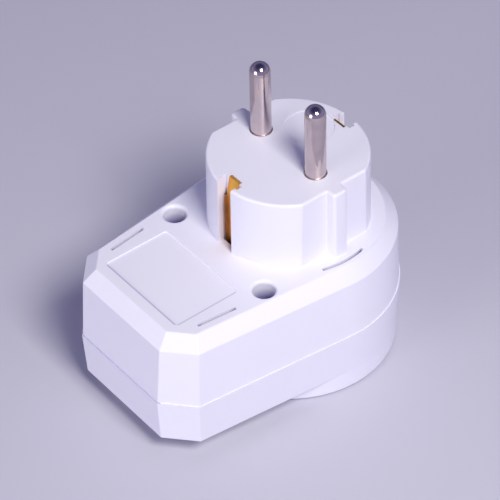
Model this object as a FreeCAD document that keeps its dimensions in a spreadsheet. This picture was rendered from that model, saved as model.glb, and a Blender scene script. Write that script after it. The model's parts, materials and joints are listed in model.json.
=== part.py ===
import FreeCAD, Part
import os
from math import asin, atan2, cos, hypot, pi, radians, sin, tan
from types import SimpleNamespace

import Sketcher
from FreeCAD import Placement, Rotation, Vector

# Switched plug adapter: a pin plug on the back, a round socket well on the front and
# a rocker switch beside the well. The origin is on the axis that the plug and the well
# share, in the plane of the collar's rim. +Z points to the pins, -X to the switch.
# All lengths are millimetres and all angles are degrees.

SIZES = (
    # shells
    ("round_radius", 25.3, "radius of the round end at the parting line"),
    ("end_reach", 48.9, "plug axis to the square end"),
    ("end_half_width", 20.2, "half width where the sides would meet the square end"),
    ("corner_along_side", 6.4, "cut corner, measured along the side"),
    ("corner_along_end", 6.3, "cut corner, measured along the end"),
    ("collar_height", 5.2, "rim plane to the flat front face"),
    ("parting_height", 17.0, "rim plane to the parting line"),
    ("back_height", 35.5, "rim plane to the back face"),
    ("parting_step", 0.25, "the front cover stands proud of the back one by this"),
    ("front_draft_side", 0.6, "lean of the front cover's sides"),
    ("front_draft_end", 0.7, "lean of the front cover's square end"),
    ("back_draft_side", 0.37, "lean of the back cover's sides"),
    ("back_draft_end", 1.1, "lean of the back cover's square end"),
    ("bevel_run", 3.0, "width of the back bevel in plan"),
    ("bevel_rise", 3.2, "height of the back bevel"),
    ("wall", 2.0, "wall of both covers"),
    ("plate", 2.0, "front and back plates"),
    ("rim_rounding", 0.9, "rounded edge of the collar's rim"),
    ("edge_rounding", 0.5, "rounded edges of the covers"),
    ("lip_height", 1.2, "lip of the back cover inside the front one"),
    ("lip_thickness", 0.7, "that lip"),
    ("lip_gap", 0.2, "lip to the wall of the front cover"),
    # plug
    ("plug_radius", 18.25, "plug body at its face"),
    ("plug_base_radius", 18.45, "plug body at the back face"),
    ("plug_height", 18.3, "back face to plug face"),
    ("plug_edge", 0.6, "rounded edge of the plug face"),
    ("plug_corner", 0.8, "rounded upright corners of the plug's flats and ribs"),
    ("plug_foot", 0.25, "hollow fillet at the plug's foot"),
    ("plug_bore", 13.7, "radius of the room inside the plug"),
    ("plug_face_plate", 2.3, "plate that holds the pins"),
    ("guide_flat", 15.9, "axis to the guide flats"),
    ("guide_rib_root", 2.1, "half width of the guide rib at its flat"),
    ("guide_rib_crest", 1.8, "half width of the guide rib at its crest"),
    ("guide_rib_fillet", 0.3, "hollow fillet between a guide rib and its flat"),
    ("dish_radius", 5.8, "shallow round dish in the plug face"),
    ("dish_x", 8.7, "axis to the dish, away from the switch"),
    ("dish_y", 3.3, "axis to the dish, towards the far pin"),
    ("dish_depth", 0.25, "depth of the dish"),
    # pins
    ("pin_radius", 2.4, "contact pin"),
    ("pin_spacing", 19.0, "centre to centre of the two pins"),
    ("pin_length", 19.0, "plug face to pin tip"),
    ("pin_shank_radius", 2.6, "pin inside the plug face"),
    ("pin_shank_proud", 0.1, "plug face to the end of that thicker part"),
    ("pin_clearance", 0.03, "pin to its hole in the plug face"),
    ("flange_radius", 3.2, "flange behind the plug face"),
    ("flange_thickness", 1.2, "flange of a pin"),
    ("rivet_radius", 1.5, "tail riveted through a strap"),
    ("rivet_head_radius", 2.2, "formed end of the tail"),
    ("rivet_head", 0.8, "height of the formed end"),
    # socket well
    ("well_radius", 19.8, "socket well"),
    ("well_depth", 17.5, "rim plane to the well's floor"),
    ("well_wall", 1.6, "wall round the well"),
    ("floor_thickness", 1.8, "floor of the well"),
    ("entry_radius", 2.8, "pin hole in the floor"),
    ("entry_flare", 0.6, "countersunk mouth of a pin hole"),
    ("guide_clearance", 0.45, "plug flat to the guide block in the well"),
    ("guide_half_length", 7.0, "half length of a guide block"),
    ("guide_groove_half", 2.5, "half width of the groove for a guide rib"),
    ("guide_groove_radius", 18.8, "axis to the bottom of that groove"),
    ("guide_start", 2.0, "rim plane to the start of a guide block"),
    # earth path
    ("strip_thickness", 0.6, "sheet of the earth strips, straps and bridge"),
    ("strip_width", 5.6, "earth strip"),
    ("strip_face", 15.95, "axis to the outer face of an earth strip on the plug"),
    ("strip_tip_width", 3.6, "narrow tip of an earth strip"),
    ("strip_tip_lean", 0.9, "inward lean of the tip"),
    ("strip_tip_below", 0.2, "plug face to the strip's tip"),
    ("strip_lean_start", 4.4, "plug face to the start of the lean"),
    ("strip_clearance", 0.1, "strip to the inner face and the ends of its groove"),
    ("strip_room", 0.85, "strip to the outer face of its groove"),
    ("slot_clearance", 0.2, "strip or strap to its slot in a floor or plate"),
    ("mouth_half_width", 2.3, "half width of the open mouth over a strip"),
    ("clip_radius", 18.6, "axis to the strip beside the well's wall"),
    ("clip_touch", 16.3, "axis to the bulge that touches a plug"),
    ("clip_touch_height", 9.0, "rim plane to that bulge"),
    ("clip_end_height", 3.2, "rim plane to the clip's free end"),
    ("clip_end_radius", 18.8, "axis to the clip's free end"),
    ("clip_foot_height", 15.5, "rim plane to the foot of the spring part"),
    ("jog_top", 29.0, "top of the step between plug strip and clip"),
    ("jog_bottom", 26.0, "bottom of that step"),
    ("strip_bend", 1.2, "fold radius on the centre line of the sheet"),
    ("bridge_width", 5.0, "earth bridge"),
    ("bridge_tab", 3.2, "folded tab of the bridge"),
    ("bridge_gap", 0.3, "bridge to the back plate"),
    # contacts and straps
    ("contact_thickness", 0.6, "sheet of a socket contact"),
    ("contact_height", 10.4, "length of a socket contact along its pin"),
    ("contact_lift", 1.2, "well floor to the socket contacts"),
    ("contact_grip", 2.42, "axis of a contact to its gripping arms"),
    ("contact_half_base", 3.0, "half width of the contact's base"),
    ("contact_base_x", 2.8, "axis of a contact to the centre of its base"),
    ("contact_lip_x", 3.4, "axis of a contact to the end of its lips"),
    ("contact_lip_y", 3.6, "lips of a contact, off its axis"),
    ("contact_bend", 0.8, "fold radius of a contact"),
    ("strap_width", 4.0, "width of the straps"),
    ("line_leg_x", 6.0, "plug axis to the leg of the line strap"),
    ("line_run_height", 29.2, "rim plane to the run of the line strap"),
    ("load_run_height", 24.2, "rim plane to the run of the load strap"),
    ("strap_end_height", 21.6, "lower end of the tabs on the switch"),
    # carrier
    ("carrier_half_length", 12.5, "half length of the contact carrier"),
    ("carrier_thickness", 1.2, "plate of the contact carrier"),
    ("carrier_wall", 1.0, "walls beside the contacts"),
    ("carrier_wall_offset", 4.1, "axis of a contact to a carrier wall"),
    ("carrier_wall_half", 4.5, "half length of a carrier wall"),
    ("passage_radius", 3.1, "pin passage in the carrier"),
    # screws
    ("screw_x", 20.1, "plug axis to the cover screws, towards the switch"),
    ("screw_inset", 7.25, "side wall at the parting line to the axis of a cover screw"),
    ("screw_hole_radius", 2.6, "deep hole over a screw head"),
    ("screw_hole_rounding", 0.8, "rounded rim of that hole"),
    ("boss_radius", 4.1, "screw boss"),
    ("boss_joint", 20.0, "rim plane to where the two bosses meet"),
    ("screw_seat", 4.0, "boss joint to the seat of the screw head"),
    ("screw_radius", 1.45, "cover screw"),
    ("screw_length", 14.0, "screw under its head"),
    ("screw_head_radius", 2.45, "head of a cover screw"),
    ("screw_head_height", 2.0, "head of a cover screw"),
    ("screw_head_edge", 1.0, "straight edge of the head"),
    ("screw_point_radius", 0.6, "flat point of a cover screw"),
    ("screw_recess_arm", 1.4, "arm of the cross recess"),
    ("screw_recess_half", 0.3, "half width of that arm"),
    ("screw_recess_depth", 1.2, "depth of the cross recess"),
    ("screw_clearance", 0.15, "screw to its hole in the back cover"),
    ("pilot_clearance", 0.08, "screw to its pilot hole"),
    ("pilot_spare", 1.0, "pilot hole beyond the end of the screw"),
    # back face details
    ("label_near", 24.9, "plug axis to the near edge of the label recess"),
    ("label_length", 17.1, "label recess along the adapter"),
    ("label_width", 25.8, "label recess across the adapter"),
    ("label_corner", 1.0, "corner radius of the label recess"),
    ("label_depth", 0.3, "depth of the label recess"),
    ("slot_width", 0.8, "hook slots"),
    ("slot_depth", 3.2, "hook slots"),
    ("slot_inset", 5.3, "side wall at the parting line to a straight hook slot"),
    ("slot_start", 28.5, "plug axis to the near end of a straight hook slot"),
    ("slot_length", 9.8, "straight hook slot"),
    ("slot_arc_radius", 20.4, "round hook slots"),
    ("slot_arc_half", 16.0, "half angle of a round hook slot"),
    ("slot_arc_turn", 92.0, "direction of a round hook slot from the +X axis"),
    # switch
    ("switch_x", 36.8, "plug axis to the switch"),
    ("bezel_length", 21.0, "switch bezel across the adapter"),
    ("bezel_width", 15.0, "switch bezel along the adapter"),
    ("bezel_thickness", 1.6, "switch bezel"),
    ("bezel_rounding", 0.6, "rounded edge of the bezel"),
    ("housing_length", 19.2, "switch body across the adapter"),
    ("housing_width", 13.0, "switch body along the adapter"),
    ("housing_depth", 13.8, "front face to the end of the switch body"),
    ("housing_gap", 0.1, "switch body to its opening in the front cover"),
    ("housing_end_wall", 0.85, "end walls of the switch body"),
    ("housing_side_wall", 0.8, "side walls of the switch body"),
    ("housing_floor", 1.2, "floor of the switch body"),
    ("lug_height", 2.6, "snap lug along its wall"),
    ("lug_rise", 0.6, "snap lug above its wall"),
    ("lug_width", 5.0, "snap lug"),
    ("pivot_height", 6.4, "rim plane to the rocker's pivot"),
    ("pivot_radius", 1.25, "pivot pins of the rocker"),
    ("pivot_clearance", 0.05, "pivot pin to its hole"),
    ("rocker_radius", 8.6, "pivot to the rocker's round ends"),
    ("rocker_face_centre", 3.0, "pivot to the middle of the rocker's face"),
    ("rocker_face_end", 4.0, "pivot to the ends of the rocker's face"),
    ("rocker_back", 1.0, "pivot to the rocker's back edge"),
    ("rocker_gap", 0.3, "rocker to the side walls"),
    ("rocker_skin", 1.3, "shell of the rocker"),
    ("rocker_end_wall", 1.95, "round ends of the rocker to its hollow"),
    ("rocker_tilt", 12.0, "rocker at rest, off its middle position"),
    ("stem_radius", 2.3, "stem that holds the plunger"),
    ("stem_reach", 4.6, "pivot to the end of the stem"),
    ("stem_bore", 1.45, "bore of the stem"),
    ("stem_bottom", 1.6, "pivot to the bottom of the bore"),
    ("plunger_radius", 1.3, "plunger"),
    ("plunger_start", 1.7, "pivot to the plunger's flat end"),
    ("plunger_tip", 8.0, "pivot to the plunger's round tip"),
    ("spring_radius", 1.0, "centre line of the plunger spring"),
    ("spring_wire", 0.36, "wire of the plunger spring"),
    ("spring_turns", 4.0, "turns of the plunger spring"),
    ("spring_gap", 0.05, "spring to the bore's bottom and to the plunger"),
    ("lever_pivot_height", 15.33, "rim plane to the ridge that the contact lever turns on"),
    ("lever_tilt", 8.0, "contact lever at rest, off its middle position"),
    ("lever_half_length", 6.8, "half length of the contact lever"),
    ("lever_width", 4.4, "contact lever"),
    ("lever_thickness", 0.7, "sheet of the contact lever"),
    ("lever_ridge", 0.45, "height of the lever's ridge"),
    ("lever_ridge_half", 1.3, "half length of the ridge"),
    ("lever_bend", 0.45, "fold radius of the lever"),
    ("tip_offset", 6.0, "switch axis to the contact tips"),
    ("tip_radius", 1.4, "contact tips"),
    ("tip_height", 0.5, "domed tip on the lever"),
    ("tip_gap", 0.12, "lever tip to the fixed tip when switched on"),
    ("tip_margin", 0.2, "edge of the output plate beyond the fixed tip"),
    ("terminal_thickness", 0.8, "sheet of the terminals"),
    ("blade_width", 4.8, "terminal blades"),
    ("blade_end", 27.0, "rim plane to the end of the common blade"),
    ("output_blade_end", 25.0, "rim plane to the end of the output blade"),
    ("output_blade_y", 6.5, "switch axis to the output blade"),
    ("saddle_half", 1.8, "half length of the saddle over the lever"),
    ("saddle_gap", 0.05, "saddle to the lever's ridge"),
    # working
    ("overcut", 0.5, "cutting shapes run past a face by this"),
)

doc = FreeCAD.newDocument("switched_plug_adapter")
sheet = doc.addObject("Spreadsheet::Sheet", "Sizes")
for row, (alias, value, meaning) in enumerate(SIZES, start=1):
    sheet.set("A%d" % row, alias)
    sheet.set("B%d" % row, str(value))
    sheet.set("C%d" % row, meaning)
    sheet.setAlias("B%d" % row, alias)
doc.recompute()

size = SimpleNamespace(**{alias: float(sheet.get(alias)) for alias, value, meaning in SIZES})
pin_y = size.pin_spacing / 2
front_inside = size.collar_height + size.plate
back_inside = size.back_height - size.plate
shoulder = size.back_height - size.bevel_rise
side_lean = atan2(size.end_reach, size.end_half_width)
side_lean += asin(size.round_radius / hypot(size.end_reach, size.end_half_width))
plug_face = size.back_height + size.plug_height
plug_inside = plug_face - size.plug_face_plate
floor_back = size.well_depth + size.floor_thickness
strap_top = plug_inside - size.flange_thickness
NEAR = 0.01  # lengths closer than this count as equal when edges are chosen
END_ANGLE = 20  # the square end is the face whose normal is within this of -X
CORNER_ANGLE = 65  # a cut corner's normal is within this of -X, a side's is not
SHOULDER = "(Sizes.back_height - Sizes.bevel_rise)"
SIDE_LEAN = ("(atan2(Sizes.end_reach; Sizes.end_half_width)"
             " + asin(Sizes.round_radius / hypot(Sizes.end_reach; Sizes.end_half_width)))")
SCREW_Y = "((Sizes.round_radius - Sizes.screw_inset + Sizes.screw_x * cos(%s)) / sin(%s))"
SCREW_Y %= (SIDE_LEAN, SIDE_LEAN)


# Helpers for bodies, sketches and features

def new_body(label):
    body = doc.addObject("PartDesign::Body", label)
    body.Label = label
    return body


def attached(body, kind, name, level, plane):
    """New sketch or datum plane on one of the body's origin planes, raised by an expression."""
    item = body.newObject(kind, name)
    base = next(origin for origin in body.Origin.OriginFeatures if origin.Role == plane)
    item.AttachmentSupport = [(base, "")]
    item.MapMode = "FlatFace"
    if level:
        item.setExpression("AttachmentOffset.Base.z", level)
    doc.recompute()
    return item


def new_sketch(body, name, level=None, plane="XY_Plane"):
    return attached(body, "Sketcher::SketchObject", name, level, plane)


def bind(item, prop, expression):
    item.setExpression(prop, expression)


def value_of(sketch, expression):
    value = sketch.evalExpression(expression)
    return float(getattr(value, "Value", value))


def tie(sketch, kind, geometry, point, expression):
    """Distance of a point from the sketch's origin, bound to an expression."""
    value = value_of(sketch, expression)
    index = sketch.addConstraint(Sketcher.Constraint(kind, -1, 1, geometry, point, value))
    bind(sketch, "Constraints[%d]" % index, expression)


def circle(sketch, radius, x="0", y="0"):
    """Circle whose radius and centre follow expressions."""
    centre = Vector(value_of(sketch, x), value_of(sketch, y), 0)
    reach = value_of(sketch, radius)
    geometry = sketch.addGeometry(Part.Circle(centre, Vector(0, 0, 1), reach))
    index = sketch.addConstraint(Sketcher.Constraint("Radius", geometry, reach))
    bind(sketch, "Constraints[%d]" % index, radius)
    if x == "0" and y == "0":
        sketch.addConstraint(Sketcher.Constraint("Coincident", geometry, 3, -1, 1))
    else:
        tie(sketch, "DistanceX", geometry, 3, x)
        tie(sketch, "DistanceY", geometry, 3, y)


def rectangle(sketch, x, y, length, width):
    """Rectangle round a centre, all four values being expressions."""
    low_x, high_x = ("(%s) %s (%s) / 2" % (x, sign, length) for sign in "-+")
    low_y, high_y = ("(%s) %s (%s) / 2" % (y, sign, width) for sign in "-+")
    left, right = value_of(sketch, low_x), value_of(sketch, high_x)
    bottom, top = value_of(sketch, low_y), value_of(sketch, high_y)
    corners = [Vector(left, bottom, 0), Vector(right, bottom, 0)]
    corners += [Vector(right, top, 0), Vector(left, top, 0)]
    first = sketch.GeometryCount
    for start, end in zip(corners, corners[1:] + corners[:1]):
        sketch.addGeometry(Part.LineSegment(start, end))
    for side in range(4):
        after = first + (side + 1) % 4
        sketch.addConstraint(Sketcher.Constraint("Coincident", first + side, 2, after, 1))
        kind = "Vertical" if side % 2 else "Horizontal"
        sketch.addConstraint(Sketcher.Constraint(kind, first + side))
    tie(sketch, "DistanceX", first, 1, low_x)
    tie(sketch, "DistanceY", first, 1, low_y)
    tie(sketch, "DistanceX", first + 2, 1, high_x)
    tie(sketch, "DistanceY", first + 2, 1, high_y)


def polygon(sketch, points):
    """Closed outline through points worked out from the sheet."""
    corners = [Vector(x, y, 0) for x, y in points]
    for start, end in zip(corners, corners[1:] + corners[:1]):
        sketch.addGeometry(Part.LineSegment(start, end))


def finish(feature):
    doc.recompute()
    if "Invalid" in feature.State or "Error" in feature.State or not feature.Shape.isValid():
        raise RuntimeError("feature %s failed" % feature.Name)
    return feature


def pad(body, sketch, length, symmetric=False, downwards=False):
    feature = body.newObject("PartDesign::Pad", sketch.Name + "_pad")
    feature.Profile = sketch
    bind(feature, "Length", length)
    feature.SideType = "Symmetric" if symmetric else "One side"
    feature.Reversed = downwards
    return finish(feature)


def pocket(body, sketch, length, symmetric=False, upwards=False):
    feature = body.newObject("PartDesign::Pocket", sketch.Name + "_pocket")
    feature.Profile = sketch
    bind(feature, "Length", length)
    feature.SideType = "Symmetric" if symmetric else "One side"
    feature.Reversed = upwards
    before = body.Shape.Volume
    finish(feature)
    if not feature.Shape.Volume < before:
        raise RuntimeError("%s cuts nothing" % feature.Name)
    return feature


def turn(body, sketch, cut=False):
    """Solid of revolution about the sketch's upright axis."""
    kind = "Groove" if cut else "Revolution"
    feature = body.newObject("PartDesign::" + kind, sketch.Name + "_turned")
    feature.Profile = sketch
    feature.ReferenceAxis = (sketch, ["V_Axis"])
    feature.Angle = 360
    return finish(feature)


def hollow_loft(body, sketches):
    feature = body.newObject("PartDesign::SubtractiveLoft", sketches[0].Name + "_loft")
    feature.Profile = sketches[0]
    feature.Sections = sketches[1:]
    feature.Ruled = True
    return finish(feature)


def lean_faces(body, name, lean, level, chosen, upwards=False):
    """Draft of the upright faces for which chosen(outward normal, centre) holds.

    The faces keep their outline at the given level and lean inwards above it or, with
    upwards, below it.
    """
    base = body.Tip
    names = []
    for index, face in enumerate(base.Shape.Faces, start=1):
        low_u, high_u, low_v, high_v = face.ParameterRange
        outwards = face.normalAt((low_u + high_u) / 2, (low_v + high_v) / 2)
        if abs(outwards.z) < 0.5 and chosen(outwards, face.CenterOfMass):
            names.append("Face%d" % index)
    plane = attached(body, "PartDesign::Plane", name + "_plane", level, "XY_Plane")
    feature = body.newObject("PartDesign::Draft", name)
    feature.Base = (base, names)
    feature.NeutralPlane = (plane, [""])
    bind(feature, "Angle", lean)
    feature.Reversed = upwards
    return finish(feature)


def lean_walls(body, level, rise, side, end, upwards=False):
    """Lean of a cover's end, cut corners and sides, each by its inset over a rise."""
    name = body.Label
    square, slanted = cos(radians(END_ANGLE)), cos(radians(CORNER_ANGLE))
    lean_faces(body, name + "_end_draft", "atan(%s / (%s))" % (end, rise), level,
               lambda outwards, centre: outwards.x < -square, upwards)
    lean_faces(body, name + "_corner_draft", "atan((%s + %s) / 2 / (%s))" % (side, end, rise), level,
               lambda outwards, centre: -square < outwards.x < -slanted, upwards)
    lean_faces(body, name + "_side_draft", "atan(%s / (%s))" % (side, rise), level,
               lambda outwards, centre: outwards.x > -slanted, upwards)


def dress_edges(body, kind, measure, reach, chosen):
    """Fillet or chamfer of the edges of the body's last feature for which chosen(edge) holds."""
    base = body.Tip
    names = ["Edge%d" % n for n, edge in enumerate(base.Shape.Edges, start=1) if chosen(edge)]
    if not names:
        raise RuntimeError("no edge to dress on %s" % body.Label)
    feature = body.newObject("PartDesign::" + kind, "%s_%s%d" % (body.Label, kind, len(body.Group)))
    feature.Base = (base, names)
    bind(feature, measure, reach)
    return finish(feature)


def round_edges(body, radius, chosen):
    return dress_edges(body, "Fillet", "Radius", radius, chosen)


def bevel_edges(body, reach, chosen):
    return dress_edges(body, "Chamfer", "Size", reach, chosen)


def is_circle_at(edge, radius, level):
    """Whether an edge is a whole circle of that radius in the plane of that height."""
    box = edge.BoundBox
    if max(abs(box.ZMin - level), abs(box.ZMax - level)) > NEAR:
        return False
    return abs(edge.Length - 2 * pi * radius) < NEAR


def dome_arc(radius, rise, base):
    """Arc of a round end's profile, from its rim to its summit on the axis."""
    ball = (radius ** 2 + rise ** 2) / (2 * rise)
    half_angle = asin(radius / ball) / 2
    middle = Vector(ball * sin(half_angle), base + rise - ball + ball * cos(half_angle), 0)
    return Part.Arc(Vector(radius, base, 0), middle, Vector(0, base + rise, 0))


# Outlines

def meet(first, second):
    """Crossing of two lines, each given as normal x, normal y and distance."""
    (a, b, c), (d, e, f) = first, second
    det = a * e - b * d
    return (c * e - b * f) / det, (a * f - c * d) / det


def shell_outline(sketch, side_inset=0.0, end_inset=0.0):
    """Round end, two tangent tapering sides, cut corners and a square end."""
    reach, half, lean = size.end_reach, size.end_half_width, side_lean
    side = (cos(lean), sin(lean), size.round_radius)
    corner_end = (-reach, half - size.corner_along_end)
    corner_x = -reach + size.corner_along_side
    corner_side = (corner_x, (side[2] - corner_x * side[0]) / side[1])
    run_x, run_y = corner_side[0] - corner_end[0], corner_side[1] - corner_end[1]
    run = hypot(run_x, run_y)
    corner = (-run_y / run, run_x / run)
    corner_distance = corner[0] * corner_end[0] + corner[1] * corner_end[1]
    radius = size.round_radius - side_inset
    side = (side[0], side[1], radius)
    corner = (corner[0], corner[1], corner_distance - (side_inset + end_inset) / 2)
    end = (-1.0, 0.0, reach - end_inset)
    near = [meet(end, corner), meet(corner, side), (radius * cos(lean), radius * sin(lean))]
    path = [Vector(x, y, 0) for x, y in near]
    back = [Vector(p.x, -p.y, 0) for p in reversed(path)]
    for start, stop in zip(path, path[1:]):
        sketch.addGeometry(Part.LineSegment(start, stop))
    arc = Part.Arc(path[-1], Vector(radius, 0, 0), back[0])
    sketch.addGeometry(arc)
    for start, stop in zip(back, back[1:]):
        sketch.addGeometry(Part.LineSegment(start, stop))
    sketch.addGeometry(Part.LineSegment(back[-1], path[0]))


def strip_outline(sketch, points, thickness, bend):
    """Side view of a folded strip, given the corner points of its centre line."""
    path = [Vector(x, y, 0) for x, y in points]
    ways = [(b - a).normalize() for a, b in zip(path, path[1:])]
    folds = []
    for corner, way_in, way_out in zip(path[1:-1], ways, ways[1:]):
        cross = way_in.x * way_out.y - way_in.y * way_out.x
        half_turn = abs(way_in.getAngle(way_out)) / 2
        hand = 1 if cross > 0 else -1
        start = corner - way_in * (bend * tan(half_turn))
        centre = start + Vector(-way_in.y, way_in.x, 0) * (bend * hand)
        folds.append((corner, way_in, way_out, hand, centre))
    sides = []
    for hand_side in (1, -1):
        offset = thickness / 2 * hand_side
        here = path[0] + Vector(-ways[0].y, ways[0].x, 0) * offset
        segments = []
        for corner, way_in, way_out, hand, centre in folds:
            radius = bend - offset * hand
            start = centre - Vector(-way_in.y, way_in.x, 0) * (radius * hand)
            stop = centre - Vector(-way_out.y, way_out.x, 0) * (radius * hand)
            middle = centre + (corner - centre).normalize() * radius
            segments.append(Part.LineSegment(here, start))
            segments.append(Part.Arc(start, middle, stop))
            here = stop
        last = path[-1] + Vector(-ways[-1].y, ways[-1].x, 0) * offset
        segments.append(Part.LineSegment(here, last))
        sides.append((segments, last))
        for segment in segments:
            sketch.addGeometry(segment)
    (left, left_end), (right, right_end) = sides
    sketch.addGeometry(Part.LineSegment(left_end, right_end))
    sketch.addGeometry(Part.LineSegment(left[0].StartPoint, right[0].StartPoint))


def rounded_rectangle(sketch, x, y, length, width, radius):
    """Rectangle with round corners round a centre."""
    half_x, half_y = length / 2 - radius, width / 2 - radius
    slant = radius * cos(pi / 4)
    quarters = ((1, 1), (-1, 1), (-1, -1), (1, -1))
    arcs = []
    for turn_index, (sign_x, sign_y) in enumerate(quarters):
        centre = Vector(x + sign_x * half_x, y + sign_y * half_y, 0)
        along_x = centre + Vector(sign_x * radius, 0, 0)
        along_y = centre + Vector(0, sign_y * radius, 0)
        middle = centre + Vector(sign_x * slant, sign_y * slant, 0)
        start, stop = (along_x, along_y) if turn_index % 2 == 0 else (along_y, along_x)
        arcs.append((start, middle, stop))
    for (start, middle, stop), (after, _, _) in zip(arcs, arcs[1:] + arcs[:1]):
        sketch.addGeometry(Part.Arc(start, middle, stop))
        sketch.addGeometry(Part.LineSegment(stop, after))


# Back cover: shell, plug body, screw bosses and the marks of its face

def lean_at(level, draft):
    """Inset of a back cover wall at a height between the parting line and the shoulder."""
    share = (level - size.parting_height) / (shoulder - size.parting_height)
    return size.parting_step + draft * share


def make_rear_cover():
    body = new_body("rear_cover")
    rise = SHOULDER + " - Sizes.parting_height"
    foot = new_sketch(body, "rear_foot", "Sizes.parting_height")
    shell_outline(foot, size.parting_step, size.parting_step)
    pad(body, foot, rise)
    lean_walls(body, "Sizes.parting_height", rise, "Sizes.back_draft_side", "Sizes.back_draft_end")
    top = new_sketch(body, "rear_shoulder", SHOULDER)
    side = lean_at(shoulder, size.back_draft_side)
    shell_outline(top, side, lean_at(shoulder, size.back_draft_end))
    pad(body, top, "Sizes.bevel_rise")
    lean_faces(body, "back_bevel", "atan(Sizes.bevel_run / Sizes.bevel_rise)", SHOULDER,
               lambda outwards, centre: centre.z > shoulder)
    round_edges(body, "Sizes.edge_rounding", is_shell_edge)

    add_plug(body)

    inner = []
    slope = "Sizes.bevel_run / Sizes.bevel_rise"
    fold = "%s - Sizes.wall * tan(atan(%s) / 2)" % (SHOULDER, slope)
    levels = ("Sizes.parting_height - Sizes.overcut", fold, "Sizes.back_height - Sizes.plate")
    for index, expression in enumerate(levels):
        section = new_sketch(body, "rear_room%d" % index, expression)
        level, fold_level = value_of(section, expression), value_of(section, fold)
        low = min(level, fold_level)
        extra = (level - low) * value_of(section, slope)
        side = lean_at(low, size.back_draft_side) + size.wall + extra
        end = lean_at(low, size.back_draft_end) + size.wall + extra
        shell_outline(section, side, end)
        inner.append(section)
    hollow_loft(body, inner)
    add_lip(body)

    room = new_sketch(body, "plug_room", "Sizes.back_height - Sizes.plate")
    circle(room, "Sizes.plug_bore")
    pocket(body, room, "Sizes.plate + Sizes.plug_height - Sizes.plug_face_plate", upwards=True)
    cut_earth_slots(body)

    bosses = new_sketch(body, "rear_bosses", "Sizes.boss_joint")
    for sign in "+-":
        circle(bosses, "Sizes.boss_radius", "-Sizes.screw_x", sign + SCREW_Y)
    pad(body, bosses, "Sizes.back_height - Sizes.plate / 2 - Sizes.boss_joint")
    shanks = new_sketch(body, "shank_holes", "Sizes.back_height")
    heads = new_sketch(body, "head_holes", "Sizes.back_height")
    for sign in "+-":
        place = ("-Sizes.screw_x", sign + SCREW_Y)
        circle(shanks, "Sizes.screw_radius + Sizes.screw_clearance", *place)
        circle(heads, "Sizes.screw_hole_radius", *place)
    pocket(body, shanks, "Sizes.back_height - Sizes.boss_joint")
    pocket(body, heads, "Sizes.back_height - Sizes.boss_joint - Sizes.screw_seat")
    holes = new_sketch(body, "plug_pin_holes", "Sizes.back_height + Sizes.plug_height")
    for sign in "+-":
        circle(holes, "Sizes.pin_shank_radius + Sizes.pin_clearance", y=sign + "Sizes.pin_spacing / 2")
    pocket(body, holes, "Sizes.plug_face_plate + Sizes.overcut")
    round_edges(body, "Sizes.screw_hole_rounding",
                lambda edge: is_circle_at(edge, size.screw_hole_radius, size.back_height))
    mark_back_face(body)
    return body


def is_shell_edge(edge):
    """Outer edges of a shell blank, apart from the parting line and the tangent lines."""
    heights = [vertex.Z for vertex in edge.Vertexes]
    if all(abs(height - size.parting_height) < NEAR for height in heights):
        return False
    return max(heights) - min(heights) < NEAR or edge.BoundBox.XMax < -size.end_reach / 2


def add_lip(body):
    """Lip under the back cover's wall that locates it inside the front cover."""
    inset = size.wall + size.lip_gap
    root = new_sketch(body, "lip_root", "Sizes.parting_height")
    shell_outline(root, size.parting_step + size.wall / 2, size.parting_step + size.wall / 2)
    shell_outline(root, inset + size.lip_thickness, inset + size.lip_thickness)
    pad(body, root, "Sizes.lip_height")
    lip = new_sketch(body, "lip", "Sizes.parting_height - Sizes.lip_height")
    shell_outline(lip, inset, inset)
    shell_outline(lip, inset + size.lip_thickness, inset + size.lip_thickness)
    pad(body, lip, "Sizes.lip_height")


def add_plug(body):
    """Plug body: slightly conical, with guide flats and ribs and all its edges rounded."""
    plug = new_sketch(body, "plug_profile", plane="XZ_Plane")
    base, face, wide = size.back_height, plug_face, size.plug_base_radius
    buried = base - size.plate / 2
    polygon(plug, ((0, buried), (wide, buried), (wide, base), (size.plug_radius, face), (0, face)))
    turn(body, plug)
    cut_guides(body)
    round_edges(body, "Sizes.plug_corner", lambda edge: upright_reach(edge) > size.plug_radius - NEAR)
    round_edges(body, "Sizes.guide_rib_fillet",
                lambda edge: 0 < upright_reach(edge) < hypot(size.guide_flat, size.guide_rib_root) + NEAR)
    round_edges(body, "Sizes.plug_edge", lambda edge: edge.BoundBox.ZMin > face - NEAR)
    round_edges(body, "Sizes.plug_foot", is_plug_foot)


def upright_reach(edge):
    """Distance from the plug's axis to an upright edge of its guide sides, or 0 for other edges."""
    box, middle = edge.BoundBox, edge.CenterOfMass
    if box.ZMin < size.back_height - NEAR or box.ZMax - box.ZMin < size.plug_height / 2:
        return 0
    if abs(middle.y) < size.guide_flat / 2:
        return 0
    return hypot(middle.x, middle.y)


def is_plug_foot(edge):
    """Whether an edge is where the plug body rises from the back face."""
    box = edge.BoundBox
    flat = max(abs(box.ZMin - size.back_height), abs(box.ZMax - size.back_height)) < NEAR
    return flat and max(-box.XMin, box.XMax) < size.plug_base_radius + NEAR


def cut_guides(body):
    """Flats on both sides of the plug, each with a rib in its middle."""
    sketch = new_sketch(body, "guides", "Sizes.back_height + Sizes.plug_height")
    outside = size.plug_base_radius + size.overcut
    flat, root = size.guide_flat, size.guide_rib_root
    slope = (root - size.guide_rib_crest) / (size.plug_radius - flat)
    for side_x in (1, -1):
        for side_y in (1, -1):
            corners = ((root, flat), (root - slope * (outside - flat), outside))
            corners += ((outside, outside), (outside, flat))
            polygon(sketch, [(side_x * x, side_y * y) for x, y in corners])
    pocket(body, sketch, "Sizes.plug_height")


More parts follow.
